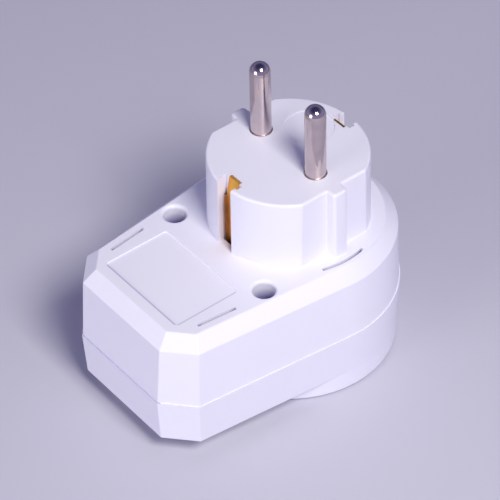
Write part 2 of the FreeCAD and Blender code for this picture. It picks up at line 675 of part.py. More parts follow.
def cut_earth_slots(body):
    """Undercut grooves for the earth strips, each with a narrower mouth down to the back face."""
    grooves = new_sketch(body, "strip_grooves", "Sizes.back_height + Sizes.plug_height")
    mouths = new_sketch(body, "strip_mouths", "Sizes.back_height + Sizes.plug_height")
    slits = new_sketch(body, "strip_slits", "Sizes.back_height + Sizes.plug_height")
    thick = "(Sizes.strip_thickness + Sizes.strip_clearance)"
    lean = "Sizes.strip_tip_lean"
    for sign in ("", "-"):
        middle = "%s(Sizes.strip_face + (Sizes.strip_room - %s) / 2)" % (sign, thick)
        rectangle(grooves, middle, "0", thick + " + Sizes.strip_room",
                  "Sizes.strip_width + 2 * Sizes.strip_clearance")
        outer = "%s(Sizes.strip_face / 2 + Sizes.plug_base_radius / 2 + Sizes.overcut / 2)" % sign
        deep = "Sizes.plug_base_radius - Sizes.strip_face + Sizes.overcut"
        rectangle(mouths, outer, "0", deep, "2 * Sizes.mouth_half_width")
        inner = "%s(Sizes.strip_face - (%s) / 2 - Sizes.strip_thickness / 2)" % (sign, lean)
        span = "%s + Sizes.strip_thickness + 2 * Sizes.strip_clearance" % lean
        rectangle(slits, inner, "0", span, "Sizes.strip_tip_width + 2 * Sizes.strip_clearance")
    pocket(body, grooves, "Sizes.plug_height + Sizes.plate + Sizes.overcut")
    pocket(body, mouths, "Sizes.plug_height")
    pocket(body, slits, "Sizes.strip_lean_start + Sizes.strip_bend")


def mark_back_face(body):
    """Label recess, hook slots and the round dish of the plug face."""
    label = new_sketch(body, "label_recess", "Sizes.back_height")
    middle = -size.label_near - size.label_length / 2
    sizes = (size.label_length, size.label_width, size.label_corner)
    rounded_rectangle(label, middle, 0, *sizes)
    pocket(body, label, "Sizes.label_depth")

    slots = new_sketch(body, "hook_slots", "Sizes.back_height")
    normal = Vector(cos(side_lean), sin(side_lean), 0)
    along = Vector(-sin(side_lean), cos(side_lean), 0)
    foot = (size.round_radius - size.slot_inset) * cos(side_lean)
    start = (size.slot_start + foot) / sin(side_lean)
    for sign in (1, -1):
        corners = []
        for run, rise in ((0, 0), (1, 0), (1, 1), (0, 1)):
            distance = size.round_radius - size.slot_inset - rise * size.slot_width
            corner = normal * distance + along * (start + run * size.slot_length)
            corners.append((corner.x, sign * corner.y))
        polygon(slots, corners)
    for sign in (1, -1):
        ring_slot(slots, sign * size.slot_arc_turn)
    pocket(body, slots, "Sizes.slot_depth")

    dish = new_sketch(body, "face_dish", "Sizes.back_height + Sizes.plug_height")
    circle(dish, "Sizes.dish_radius", "Sizes.dish_x", "Sizes.dish_y")
    pocket(body, dish, "Sizes.dish_depth")


def ring_slot(sketch, turn_angle):
    """Slot along a circle round the plug, round the given direction."""
    spread = radians(size.slot_arc_half)
    middle = radians(turn_angle)
    inner = size.slot_arc_radius - size.slot_width / 2
    outer = size.slot_arc_radius + size.slot_width / 2

    def at(radius, angle):
        return Vector(radius * cos(angle), radius * sin(angle), 0)

    low, high = middle - spread, middle + spread
    sketch.addGeometry(Part.Arc(at(inner, low), at(inner, middle), at(inner, high)))
    sketch.addGeometry(Part.LineSegment(at(inner, high), at(outer, high)))
    sketch.addGeometry(Part.Arc(at(outer, high), at(outer, middle), at(outer, low)))
    sketch.addGeometry(Part.LineSegment(at(outer, low), at(inner, low)))


# Front cover: shell, collar and socket well

def make_front_cover():
    body = new_body("front_cover")
    rise = "Sizes.parting_height - Sizes.collar_height"
    parting = new_sketch(body, "front_parting", "Sizes.parting_height")
    shell_outline(parting)
    pad(body, parting, rise, downwards=True)
    lean_walls(body, "Sizes.parting_height", rise, "Sizes.front_draft_side",
               "Sizes.front_draft_end", upwards=True)
    round_edges(body, "Sizes.edge_rounding", is_shell_edge)

    room = []
    fall = size.parting_height - size.collar_height
    levels = (
        (front_inside, "Sizes.collar_height + Sizes.plate"),
        (size.parting_height + size.overcut, "Sizes.parting_height + Sizes.overcut"),
    )
    for index, (level, expression) in enumerate(levels):
        section = new_sketch(body, "front_room%d" % index, expression)
        share = (size.parting_height - level) / fall
        side = size.front_draft_side * share + size.wall
        shell_outline(section, side, size.front_draft_end * share + size.wall)
        room.append(section)
    hollow_loft(body, room)

    collar = new_sketch(body, "collar_profile", plane="XZ_Plane")
    radius = size.round_radius - size.front_draft_side
    edge = size.rim_rounding
    slant = 1 - cos(pi / 4)
    outer_wall = size.well_radius + size.well_wall
    gap = radius - size.wall
    rim_in, rim_out = Vector(outer_wall, 0, 0), Vector(radius - edge, 0, 0)
    edge_mid = Vector(radius - edge * slant, edge * slant, 0)
    edge_top = Vector(radius, edge, 0)
    wall_top = Vector(radius, size.collar_height + size.plate / 2, 0)
    wall_in, gap_out = Vector(gap, wall_top.y, 0), Vector(gap, size.plate, 0)
    gap_in = Vector(outer_wall, size.plate, 0)
    collar.addGeometry(Part.LineSegment(rim_in, rim_out))
    collar.addGeometry(Part.Arc(rim_out, edge_mid, edge_top))
    for start, stop in ((edge_top, wall_top), (wall_top, wall_in), (wall_in, gap_out)):
        collar.addGeometry(Part.LineSegment(start, stop))
    collar.addGeometry(Part.LineSegment(gap_out, gap_in))
    collar.addGeometry(Part.LineSegment(gap_in, rim_in))
    turn(body, collar)

    ring = new_sketch(body, "hollow_ring", "Sizes.plate")
    circle(ring, "Sizes.round_radius - Sizes.front_draft_side - Sizes.wall")
    circle(ring, "Sizes.well_radius + Sizes.well_wall")
    pocket(body, ring, "Sizes.collar_height", upwards=True)

    wall = new_sketch(body, "well_wall")
    circle(wall, "Sizes.well_radius + Sizes.well_wall")
    pad(body, wall, "Sizes.well_depth + Sizes.floor_thickness")
    well = new_sketch(body, "well")
    circle(well, "Sizes.well_radius")
    pocket(body, well, "Sizes.well_depth", upwards=True)

    blocks = new_sketch(body, "guide_blocks", "Sizes.guide_start")
    face_y = "(Sizes.guide_flat + Sizes.guide_clearance)"
    depth = "(Sizes.well_radius + Sizes.well_wall / 2 - %s)" % face_y
    for sign in ("", "-"):
        middle = "%s(%s + %s / 2)" % (sign, face_y, depth)
        rectangle(blocks, "0", middle, "2 * Sizes.guide_half_length", depth)
    pad(body, blocks, "Sizes.well_depth - Sizes.guide_start")
    grooves = new_sketch(body, "guide_grooves")
    for sign in ("", "-"):
        middle = "%s(Sizes.guide_groove_radius + Sizes.guide_flat) / 2" % sign
        deep = "Sizes.guide_groove_radius - Sizes.guide_flat"
        rectangle(grooves, "0", middle, "2 * Sizes.guide_groove_half", deep)
    pocket(body, grooves, "Sizes.well_depth", upwards=True)

    entries = new_sketch(body, "pin_entries", "Sizes.well_depth")
    for sign in "+-":
        circle(entries, "Sizes.entry_radius", y=sign + "Sizes.pin_spacing / 2")
    pocket(body, entries, "Sizes.floor_thickness", upwards=True)
    bevel_edges(body, "Sizes.entry_flare",
                lambda edge: is_circle_at(edge, size.entry_radius, size.well_depth))
    slots = new_sketch(body, "clip_slots", "Sizes.well_depth")
    for sign in ("", "-"):
        across = "Sizes.strip_width + 2 * Sizes.slot_clearance"
        deep = "Sizes.strip_thickness + 2 * Sizes.slot_clearance"
        rectangle(slots, sign + "Sizes.clip_radius", "0", deep, across)
    pocket(body, slots, "Sizes.floor_thickness", upwards=True)

    opening = new_sketch(body, "switch_opening", "Sizes.collar_height")
    length = "Sizes.housing_width + 2 * Sizes.housing_gap"
    width = "Sizes.housing_length + 2 * Sizes.housing_gap"
    rectangle(opening, "-Sizes.switch_x", "0", length, width)
    pocket(body, opening, "Sizes.plate", upwards=True)

    bosses = new_sketch(body, "front_bosses", "Sizes.collar_height + Sizes.plate / 2")
    pilots = new_sketch(body, "screw_pilots", "Sizes.boss_joint")
    for sign in "+-":
        place = ("-Sizes.screw_x", sign + SCREW_Y)
        circle(bosses, "Sizes.boss_radius - Sizes.screw_clearance", *place)
        circle(pilots, "Sizes.screw_radius + Sizes.pilot_clearance", *place)
    pad(body, bosses, "Sizes.boss_joint - Sizes.collar_height - Sizes.plate / 2")
    pocket(body, pilots, "Sizes.screw_length - Sizes.screw_seat + Sizes.pilot_spare")
    return body


# Pins and screws

def make_pin(label, sign):
    body = new_body(label)
    sketch = new_sketch(body, label + "_profile", plane="XZ_Plane")
    radius, tip = size.pin_radius, plug_face + size.pin_length
    shank, shank_end = size.pin_shank_radius, plug_face + size.pin_shank_proud
    head_top = strap_top - size.strip_thickness
    points = (
        (0, head_top - size.rivet_head), (size.rivet_head_radius, head_top - size.rivet_head),
        (size.rivet_head_radius, head_top), (size.rivet_radius, head_top),
        (size.rivet_radius, strap_top), (size.flange_radius, strap_top),
        (size.flange_radius, plug_inside), (shank, plug_inside), (shank, shank_end),
        (radius, shank_end), (radius, tip - radius),
    )
    path = [Vector(x, z, 0) for x, z in points]
    for start, stop in zip(path, path[1:]):
        sketch.addGeometry(Part.LineSegment(start, stop))
    sketch.addGeometry(dome_arc(radius, radius, tip - radius))
    sketch.addGeometry(Part.LineSegment(Vector(0, tip, 0), path[0]))
    turn(body, sketch)
    bind(body, "Placement.Base.y", "%sSizes.pin_spacing / 2" % sign)
    return body


def make_screw(label, sign):
    body = new_body(label)
    sketch = new_sketch(body, label + "_profile", plane="XZ_Plane")
    radius, head, point = size.screw_radius, size.screw_head_radius, size.screw_point_radius
    height, length, edge = size.screw_head_height, size.screw_length, size.screw_head_edge
    points = ((0, -length), (point, -length), (radius, point - length + radius), (radius, 0),
              (head, 0), (head, edge))
    path = [Vector(x, z, 0) for x, z in points]
    for start, stop in zip(path, path[1:]):
        sketch.addGeometry(Part.LineSegment(start, stop))
    sketch.addGeometry(dome_arc(head, height - edge, edge))
    sketch.addGeometry(Part.LineSegment(Vector(0, height, 0), path[0]))
    turn(body, sketch)
    recess = new_sketch(body, label + "_recess", "Sizes.screw_head_height")
    arm, half = size.screw_recess_arm, size.screw_recess_half
    turned = []
    for quarter in range(4):
        angle = quarter * pi / 2
        for x, y in ((arm, -half), (arm, half), (half, half)):
            turned.append((x * cos(angle) - y * sin(angle), x * sin(angle) + y * cos(angle)))
    polygon(recess, turned)
    pocket(body, recess, "Sizes.screw_recess_depth")
    bind(body, "Placement.Base.x", "-Sizes.screw_x")
    bind(body, "Placement.Base.y", sign + SCREW_Y)
    bind(body, "Placement.Base.z", "Sizes.boss_joint + Sizes.screw_seat")
    return body


# Earth path: a strip on each side, from the plug down into the well, and a bridge

def make_earth_strip(label, side_angle):
    """One folded sheet: plug contact above, step inwards to the well, sprung clip below."""
    body = new_body(label)
    sketch = new_sketch(body, label + "_side", plane="XZ_Plane")
    middle = size.strip_face - size.strip_thickness / 2
    tip = (middle - size.strip_tip_lean, plug_face - size.strip_tip_below)
    points = (
        tip, (middle, plug_face - size.strip_lean_start), (middle, size.jog_top),
        (size.clip_radius, size.jog_bottom), (size.clip_radius, size.clip_foot_height),
        (size.clip_touch, size.clip_touch_height), (size.clip_end_radius, size.clip_end_height),
    )
    strip_outline(sketch, points, size.strip_thickness, size.strip_bend)
    pad(body, sketch, "Sizes.strip_width", symmetric=True)
    trim = new_sketch(body, label + "_tip", plane="YZ_Plane")
    half, narrow = size.strip_width / 2, size.strip_tip_width / 2
    outside = half + size.overcut
    neck = plug_face - size.strip_lean_start - size.strip_bend / 2
    high = plug_face + size.overcut
    for sign in (1, -1):
        corners = ((narrow, high), (narrow, neck), (outside, neck - outside + narrow))
        polygon(trim, [(sign * y, z) for y, z in corners + ((outside, high),)])
    pocket(body, trim, "2 * Sizes.round_radius", symmetric=True)
    body.Placement = Placement(Vector(), Rotation(Vector(0, 0, 1), side_angle))
    return body


def make_earth_bridge():
    """Flat strip under the back plate with a tab folded down against each earth strip."""
    body = new_body("earth_bridge")
    sketch = new_sketch(body, "bridge_side", plane="XZ_Plane")
    reach = size.strip_face - size.strip_thickness - size.strip_thickness / 2
    level = back_inside - size.bridge_gap - size.strip_thickness / 2
    low = level - size.bridge_tab
    points = ((-reach, low), (-reach, level), (reach, level), (reach, low))
    strip_outline(sketch, points, size.strip_thickness, size.strip_thickness)
    pad(body, sketch, "Sizes.bridge_width", symmetric=True)
    return body


# Socket contacts, straps and their carrier

def make_contact(label, sign):
    """Forked spring contact that grips a pin, with its base turned to one side."""
    body = new_body(label)
    sketch = new_sketch(body, label + "_plan")
    touch = size.contact_grip + size.contact_thickness / 2
    base, lip = size.contact_base_x, size.contact_lip_x
    arm = ((lip, size.contact_lip_y), (size.contact_thickness, touch), (-base, size.contact_half_base))
    points = arm + tuple((x, -y) for x, y in reversed(arm))
    strip_outline(sketch, points, size.contact_thickness, size.contact_bend)
    pad(body, sketch, "Sizes.contact_height")
    place = Vector(0, sign * pin_y, floor_back + size.contact_lift)
    body.Placement = Placement(place, Rotation(Vector(0, 0, 1), 0 if sign < 0 else 180))
    bind(body, "Placement.Base.y", "%s Sizes.pin_spacing / 2" % ("-" if sign < 0 else "+"))
    height = "Sizes.well_depth + Sizes.floor_thickness + Sizes.contact_lift"
    bind(body, "Placement.Base.z", height)
    return body


def rivet_hole(body, name, y):
    """Hole in a strap's upper tab for the riveted tail of a pin."""
    level = "Sizes.back_height + Sizes.plug_height - Sizes.plug_face_plate - Sizes.flange_thickness"
    hole = new_sketch(body, name, level)
    circle(hole, "Sizes.rivet_radius", y=y)
    pocket(body, hole, "Sizes.strip_thickness")


def contact_back():
    """Plug axis to the outer face of a contact's base."""
    return size.contact_base_x + size.contact_thickness / 2


def make_neutral_strap():
    """From the neutral pin straight down to its socket contact."""
    body = new_body("neutral_strap")
    sketch = new_sketch(body, "neutral_strap_side", plane="XZ_Plane")
    thick = size.strip_thickness
    leg = contact_back() + thick / 2
    level = strap_top - thick / 2
    low = floor_back + size.contact_lift
    points = ((-size.rivet_head_radius, level), (leg, level), (leg, low))
    strip_outline(sketch, points, thick, thick)
    bind(sketch, "AttachmentOffset.Base.z", "-Sizes.pin_spacing / 2")
    pad(body, sketch, "Sizes.strap_width", symmetric=True)
    rivet_hole(body, "neutral_rivet_hole", "Sizes.pin_spacing / 2")
    return body


def make_line_strap():
    """From the line pin down and along the adapter to the common blade of the switch."""
    body = new_body("line_strap")
    side = new_sketch(body, "line_strap_side", plane="XZ_Plane")
    thick = size.strip_thickness
    level = strap_top - thick / 2
    run = size.line_run_height + thick / 2
    far = -size.switch_x - size.blade_width / 2
    leg = -size.line_leg_x
    points = ((size.rivet_head_radius, level), (leg, level), (leg, run), (far, run))
    strip_outline(side, points, thick, thick)
    bind(side, "AttachmentOffset.Base.z", "Sizes.pin_spacing / 2")
    pad(body, side, "Sizes.strap_width", symmetric=True)
    rivet_hole(body, "line_rivet_hole", "-Sizes.pin_spacing / 2")
    arm = new_sketch(body, "line_strap_arm", "Sizes.line_run_height")
    reach = "Sizes.pin_spacing / 2 - Sizes.terminal_thickness / 2"
    rectangle(arm, "-Sizes.switch_x", "-Sizes.terminal_thickness / 2 - (%s) / 2" % reach,
              "Sizes.blade_width", reach)
    pad(body, arm, "Sizes.strip_thickness")
    tab = new_sketch(body, "line_strap_tab", "Sizes.strap_end_height")
    rectangle(tab, "-Sizes.switch_x", "-Sizes.terminal_thickness / 2 - Sizes.strip_thickness / 2",
              "Sizes.blade_width", "Sizes.strip_thickness")
    pad(body, tab, "Sizes.line_run_height + Sizes.strip_thickness - Sizes.strap_end_height")
    return body


def make_load_strap():
    """From the output blade of the switch back to the line socket contact."""
    body = new_body("load_strap")
    side = new_sketch(body, "load_strap_side", plane="XZ_Plane")
    thick = size.strip_thickness
    leg = -contact_back() - thick / 2
    run = size.load_run_height + thick / 2
    far = -size.switch_x - size.blade_width / 2
    points = ((leg, floor_back + size.contact_lift), (leg, run), (far, run))
    strip_outline(side, points, thick, thick)
    bind(side, "AttachmentOffset.Base.z", "Sizes.pin_spacing / 2")
    pad(body, side, "Sizes.strap_width", symmetric=True)
    blade_face = "(Sizes.output_blade_y + Sizes.terminal_thickness / 2)"
    arm = new_sketch(body, "load_strap_arm", "Sizes.load_run_height")
    reach = "(Sizes.pin_spacing / 2 - %s)" % blade_face
    rectangle(arm, "-Sizes.switch_x", "-%s - %s / 2" % (blade_face, reach),
              "Sizes.blade_width", reach)
    pad(body, arm, "Sizes.strip_thickness")
    tab = new_sketch(body, "load_strap_tab", "Sizes.strap_end_height")
    rectangle(tab, "-Sizes.switch_x", "-%s - Sizes.strip_thickness / 2" % blade_face,
              "Sizes.blade_width", "Sizes.strip_thickness")
    pad(body, tab, "Sizes.load_run_height + Sizes.strip_thickness - Sizes.strap_end_height")
    return body


def make_carrier():
    """Insulating plate over the socket contacts, with walls down to the well's floor."""
    body = new_body("contact_carrier")
    top = "Sizes.back_height - Sizes.plate - Sizes.bridge_gap - Sizes.strip_thickness"
    half_width = "(Sizes.pin_spacing / 2 + Sizes.carrier_wall_offset + Sizes.carrier_wall)"
    plate = new_sketch(body, "carrier_plate", top + " - Sizes.carrier_thickness")
    rectangle(plate, "0", "0", "2 * Sizes.carrier_half_length", "2 * %s" % half_width)
    pad(body, plate, "Sizes.carrier_thickness")
    walls = new_sketch(body, "carrier_walls", "Sizes.well_depth + Sizes.floor_thickness")
    for pole in "+-":
        for side in "+-":
            offset = "(Sizes.carrier_wall_offset + Sizes.carrier_wall / 2)"
            middle = "%sSizes.pin_spacing / 2 %s %s" % (pole, side, offset)
            rectangle(walls, "0", middle, "2 * Sizes.carrier_wall_half", "Sizes.carrier_wall")
    floor = "Sizes.well_depth + Sizes.floor_thickness"
    pad(body, walls, "%s - Sizes.carrier_thickness / 2 - (%s)" % (top, floor))
    holes = new_sketch(body, "carrier_passages", top)
    for pole in "+-":
        circle(holes, "Sizes.passage_radius", y=pole + "Sizes.pin_spacing / 2")
    pocket(body, holes, "Sizes.carrier_thickness")
    legs = new_sketch(body, "carrier_leg_slots", top)
    room = "Sizes.strip_thickness + 2 * Sizes.slot_clearance"
    across = "Sizes.strap_width + 2 * Sizes.slot_clearance"
    rectangle(legs, "-Sizes.line_leg_x", "-Sizes.pin_spacing / 2", room, across)
    pocket(body, legs, "Sizes.carrier_thickness")
    leg = "Sizes.contact_base_x + Sizes.contact_thickness / 2 + Sizes.strip_thickness / 2"
    neutral = new_sketch(body, "carrier_neutral_slot", top)
    rectangle(neutral, leg, "Sizes.pin_spacing / 2", room, across)
    pocket(body, neutral, "Sizes.carrier_thickness")
    return body


# Rocker switch

def make_switch_housing():
    body = new_body("switch_housing")
    bezel = new_sketch(body, "bezel", "Sizes.collar_height - Sizes.bezel_thickness")
    rectangle(bezel, "0", "0", "Sizes.bezel_width", "Sizes.bezel_length")
    pad(body, bezel, "Sizes.bezel_thickness")
    bezel_face = size.collar_height - size.bezel_thickness
    round_edges(body, "Sizes.bezel_rounding",
                lambda edge: edge.BoundBox.ZMax < bezel_face + NEAR)
    block = new_sketch(body, "housing_block", "Sizes.collar_height")
    rectangle(block, "0", "0", "Sizes.housing_width", "Sizes.housing_length")
    pad(body, block, "Sizes.housing_depth")
    room = new_sketch(body, "housing_room", "Sizes.collar_height - Sizes.bezel_thickness")
    rectangle(room, "0", "0", "Sizes.housing_width - 2 * Sizes.housing_side_wall",
              "Sizes.housing_length - 2 * Sizes.housing_end_wall")
    pocket(body, room, "Sizes.bezel_thickness + Sizes.housing_depth - Sizes.housing_floor",
           upwards=True)
    pivots = new_sketch(body, "pivot_holes", plane="YZ_Plane")
    circle(pivots, "Sizes.pivot_radius + Sizes.pivot_clearance", "0", "Sizes.pivot_height")
    pocket(body, pivots, "Sizes.housing_width + Sizes.overcut", symmetric=True)
    slots = new_sketch(body, "blade_slots", "Sizes.collar_height + Sizes.housing_depth")
    for y in ("0", "-Sizes.output_blade_y"):
        rectangle(slots, "0", y, "Sizes.blade_width", "Sizes.terminal_thickness")
    pocket(body, slots, "Sizes.housing_floor")
    lugs = new_sketch(body, "snap_lugs", plane="YZ_Plane")
    low, half = front_inside, size.housing_length / 2
    for sign in (1, -1):
        corners = ((sign * (half - size.housing_end_wall / 2), low), (sign * half, low))
        corners += ((sign * (half + size.lug_rise), low + size.lug_rise / 2),)
        corners += ((sign * (half - size.housing_end_wall / 2), low + size.lug_height),)
        polygon(lugs, corners)
    pad(body, lugs, "Sizes.lug_width", symmetric=True)
    bind(body, "Placement.Base.x", "-Sizes.switch_x")
    return body


def make_rocker():
    """Rocker on two pivot pins, with a hollow stem behind it for the plunger."""
    body = new_body("rocker")
    side = new_sketch(body, "rocker_side", plane="YZ_Plane")
    radius, end, back = size.rocker_radius, size.rocker_face_end, size.rocker_back

    def on_arc(height):
        return Vector((radius ** 2 - height ** 2) ** 0.5, height, 0)

    face_end, top, waist = on_arc(-end), on_arc(back), Vector(radius, 0, 0)
    mirror = [Vector(-p.x, p.y, 0) for p in (face_end, waist, top)]
    centre = Vector(0, -size.rocker_face_centre, 0)
    side.addGeometry(Part.LineSegment(centre, face_end))
    side.addGeometry(Part.Arc(face_end, waist, top))
    side.addGeometry(Part.LineSegment(top, mirror[2]))
    side.addGeometry(Part.Arc(mirror[2], mirror[1], mirror[0]))
    side.addGeometry(Part.LineSegment(mirror[0], centre))
    width = "Sizes.housing_width - 2 * Sizes.housing_side_wall - 2 * Sizes.rocker_gap"
    pad(body, side, width, symmetric=True)
    hollow = new_sketch(body, "rocker_hollow", "Sizes.rocker_back")
    rectangle(hollow, "0", "0", "%s - 2 * Sizes.rocker_skin" % width,
              "2 * (Sizes.rocker_radius - Sizes.rocker_end_wall)")
    depth = "Sizes.rocker_back + Sizes.rocker_face_centre - Sizes.rocker_skin"
    pocket(body, hollow, depth)
    stem = new_sketch(body, "stem", "Sizes.rocker_skin / 2 - Sizes.rocker_face_centre")
    circle(stem, "Sizes.stem_radius")
    pad(body, stem, "Sizes.stem_reach + Sizes.rocker_face_centre - Sizes.rocker_skin / 2")
    bore = new_sketch(body, "stem_bore", "Sizes.stem_reach")
    circle(bore, "Sizes.stem_bore")
    pocket(body, bore, "Sizes.stem_reach + Sizes.stem_bottom")
    for sign in "+-":
        inside = "(%s) / 2 - Sizes.rocker_skin" % width
        level = "%s(%s)" % ("" if sign == "+" else "-", inside)
        name = "pivot_pin_front" if sign == "+" else "pivot_pin_back"
        pin = new_sketch(body, name, level, plane="YZ_Plane")
        circle(pin, "Sizes.pivot_radius")
        reach = "Sizes.housing_width / 2 - Sizes.pivot_clearance - (%s)" % inside
        pad(body, pin, reach, downwards=sign == "-")
    ride_on_rocker(body)
    return body


def ride_on_rocker(body):
    """Place a body made round the rocker's pivot: at the pivot, turned by the rest tilt."""
    place = Vector(-size.switch_x, 0, size.pivot_height)
    body.Placement = Placement(place, Rotation(Vector(1, 0, 0), -size.rocker_tilt))
    bind(body, "Placement.Base.x", "-Sizes.switch_x")
    bind(body, "Placement.Base.z", "Sizes.pivot_height")


def make_plunger():
    body = new_body("rocker_plunger")
    sketch = new_sketch(body, "plunger_profile", plane="XZ_Plane")
    radius, start, tip = size.plunger_radius, size.plunger_start, size.plunger_tip
    dome_foot = Vector(radius, tip - radius, 0)
    sketch.addGeometry(Part.LineSegment(Vector(0, start, 0), Vector(radius, start, 0)))
    sketch.addGeometry(Part.LineSegment(Vector(radius, start, 0), dome_foot))
    sketch.addGeometry(dome_arc(radius, radius, tip - radius))
    sketch.addGeometry(Part.LineSegment(Vector(0, tip, 0), Vector(0, start, 0)))
    turn(body, sketch)
    ride_on_rocker(body)
    return body


def make_plunger_spring():
    body = new_body("plunger_spring")
    wire = new_sketch(body, "spring_wire", plane="XZ_Plane")
    low = "-Sizes.stem_bottom + Sizes.spring_wire / 2 + Sizes.spring_gap"
    circle(wire, "Sizes.spring_wire / 2", "Sizes.spring_radius", low)
    coil = body.newObject("PartDesign::AdditiveHelix", "spring_coil")
    coil.Profile = wire
    coil.ReferenceAxis = (wire, ["V_Axis"])
    coil.Mode = "height-turns-growth"
    room = "Sizes.plunger_start + Sizes.stem_bottom - Sizes.spring_wire"
    bind(coil, "Height", "%s - 2 * Sizes.spring_gap" % room)
    bind(coil, "Turns", "Sizes.spring_turns")
    finish(coil)
    ride_on_rocker(body)
    return body


def ride_on_lever(body):
    """Place a body made round the lever's ridge: at the ridge, turned by the rest tilt."""
    place = Vector(-size.switch_x, 0, size.lever_pivot_height)
    body.Placement = Placement(place, Rotation(Vector(1, 0, 0), size.lever_tilt))
    bind(body, "Placement.Base.x", "-Sizes.switch_x")
    bind(body, "Placement.Base.z", "Sizes.lever_pivot_height")


def make_lever():
    """See-saw strip with a ridge across its middle, on which it turns."""
    body = new_body("contact_lever")
    sketch = new_sketch(body, "lever_side", plane="YZ_Plane")
    thick = size.lever_thickness
    top = -thick / 2
    wing = top - size.lever_ridge
    half, ridge = size.lever_half_length, size.lever_ridge_half
    points = ((-half, wing), (-ridge, wing), (0, top), (ridge, wing), (half, wing))
    strip_outline(sketch, points, thick, size.lever_bend)
    pad(body, sketch, "Sizes.lever_width", symmetric=True)
    ride_on_lever(body)
    return body


def make_lever_tip():
    """Domed contact tip on the lever's working wing."""
    body = new_body("lever_tip")
    sketch = new_sketch(body, "lever_tip_profile", plane="XZ_Plane")
    radius, height = size.tip_radius, size.tip_height
    sketch.addGeometry(Part.LineSegment(Vector(0, 0, 0), Vector(radius, 0, 0)))
    sketch.addGeometry(dome_arc(radius, height, 0))
    sketch.addGeometry(Part.LineSegment(Vector(0, height, 0), Vector(0, 0, 0)))
    turn(body, sketch)
    tilt = Rotation(Vector(1, 0, 0), size.lever_tilt)
    seat = tilt.multVec(Vector(0, -size.tip_offset, -size.lever_ridge))
    body.Placement = Placement(Vector(-size.switch_x, 0, size.lever_pivot_height) + seat, tilt)
    return body


def make_output_terminal():
    """Plate that carries the fixed tip, with a blade through the housing's floor."""
    body = new_body("output_terminal")
    plate = new_sketch(body, "output_plate")
    plate_top = "(Sizes.collar_height + Sizes.housing_depth - Sizes.housing_floor)"
    bind(plate, "AttachmentOffset.Base.z", plate_top + " - Sizes.terminal_thickness")
    rectangle(plate, "0", "-Sizes.tip_offset", "Sizes.blade_width",
              "2 * Sizes.tip_radius + 2 * Sizes.tip_margin")
    pad(body, plate, "Sizes.terminal_thickness")
    blade = new_sketch(body, "output_blade", plate_top + " - Sizes.terminal_thickness")
    rectangle(blade, "0", "-Sizes.output_blade_y", "Sizes.blade_width", "Sizes.terminal_thickness")
    pad(body, blade, "Sizes.output_blade_end - %s + Sizes.terminal_thickness" % plate_top)
    bind(body, "Placement.Base.x", "-Sizes.switch_x")
    return body


def make_fixed_tip():
    """Disc on the output plate, just clear of the lever tip when switched on."""
    body = new_body("fixed_tip")
    rise = "Sizes.tip_offset * sin(Sizes.lever_tilt)"
    crown = "(Sizes.tip_height - Sizes.lever_ridge) * cos(Sizes.lever_tilt)"
    face = "(Sizes.lever_pivot_height + %s + %s + Sizes.tip_gap)" % (rise, crown)
    sketch = new_sketch(body, "fixed_tip_disc", face)
    circle(sketch, "Sizes.tip_radius", "0", "-Sizes.tip_offset")
    seat = "Sizes.collar_height + Sizes.housing_depth - Sizes.housing_floor"
    pad(body, sketch, "%s - Sizes.terminal_thickness - %s" % (seat, face))
    bind(body, "Placement.Base.x", "-Sizes.switch_x")
    return body


def make_common_terminal():
    """Saddle over the lever's ridge, with a blade through the housing's floor."""
    body = new_body("common_terminal")
    low = "Sizes.lever_pivot_height + Sizes.saddle_gap"
    saddle = new_sketch(body, "saddle", low)
    rectangle(saddle, "0", "0", "Sizes.blade_width", "2 * Sizes.saddle_half")
    pad(body, saddle, "Sizes.terminal_thickness")
    blade = new_sketch(body, "common_blade", low)
    rectangle(blade, "0", "0", "Sizes.blade_width", "Sizes.terminal_thickness")
    pad(body, blade, "Sizes.blade_end - Sizes.lever_pivot_height - Sizes.saddle_gap")
    bind(body, "Placement.Base.x", "-Sizes.switch_x")
    return body


parts = [make_rear_cover(), make_front_cover()]
parts += [make_pin("line_pin", "-"), make_pin("neutral_pin", "+")]
parts += [make_screw("cover_screw_near", "-"), make_screw("cover_screw_far", "+")]
parts += [make_earth_strip("earth_strip_round_end", 0), make_earth_strip("earth_strip_switch_end", 180)]
parts += [make_earth_bridge(), make_carrier()]
parts += [make_contact("line_contact", -1), make_contact("neutral_contact", 1)]
parts += [make_line_strap(), make_load_strap(), make_neutral_strap()]
parts += [make_switch_housing(), make_rocker(), make_plunger(), make_plunger_spring()]
parts += [make_lever(), make_lever_tip(), make_fixed_tip()]
parts += [make_common_terminal(), make_output_terminal()]
doc.recompute()
for item in doc.Objects:
    if "Invalid" in item.State or "Error" in item.State:
        raise RuntimeError("%s did not build" % item.Name)
os.makedirs("parts", exist_ok=True)
for part in parts:
    shape = part.Shape
    if shape.isNull() or not shape.isValid() or not shape.Solids:
        raise RuntimeError("%s has no sound solid" % part.Label)
    shape.exportStep("parts/%s.step" % part.Label)
    print(part.Label, len(shape.Solids), "solid", round(shape.Volume, 1), "mm3")
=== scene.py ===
import json
import math

import bmesh
import bpy
from mathutils import Matrix, Vector


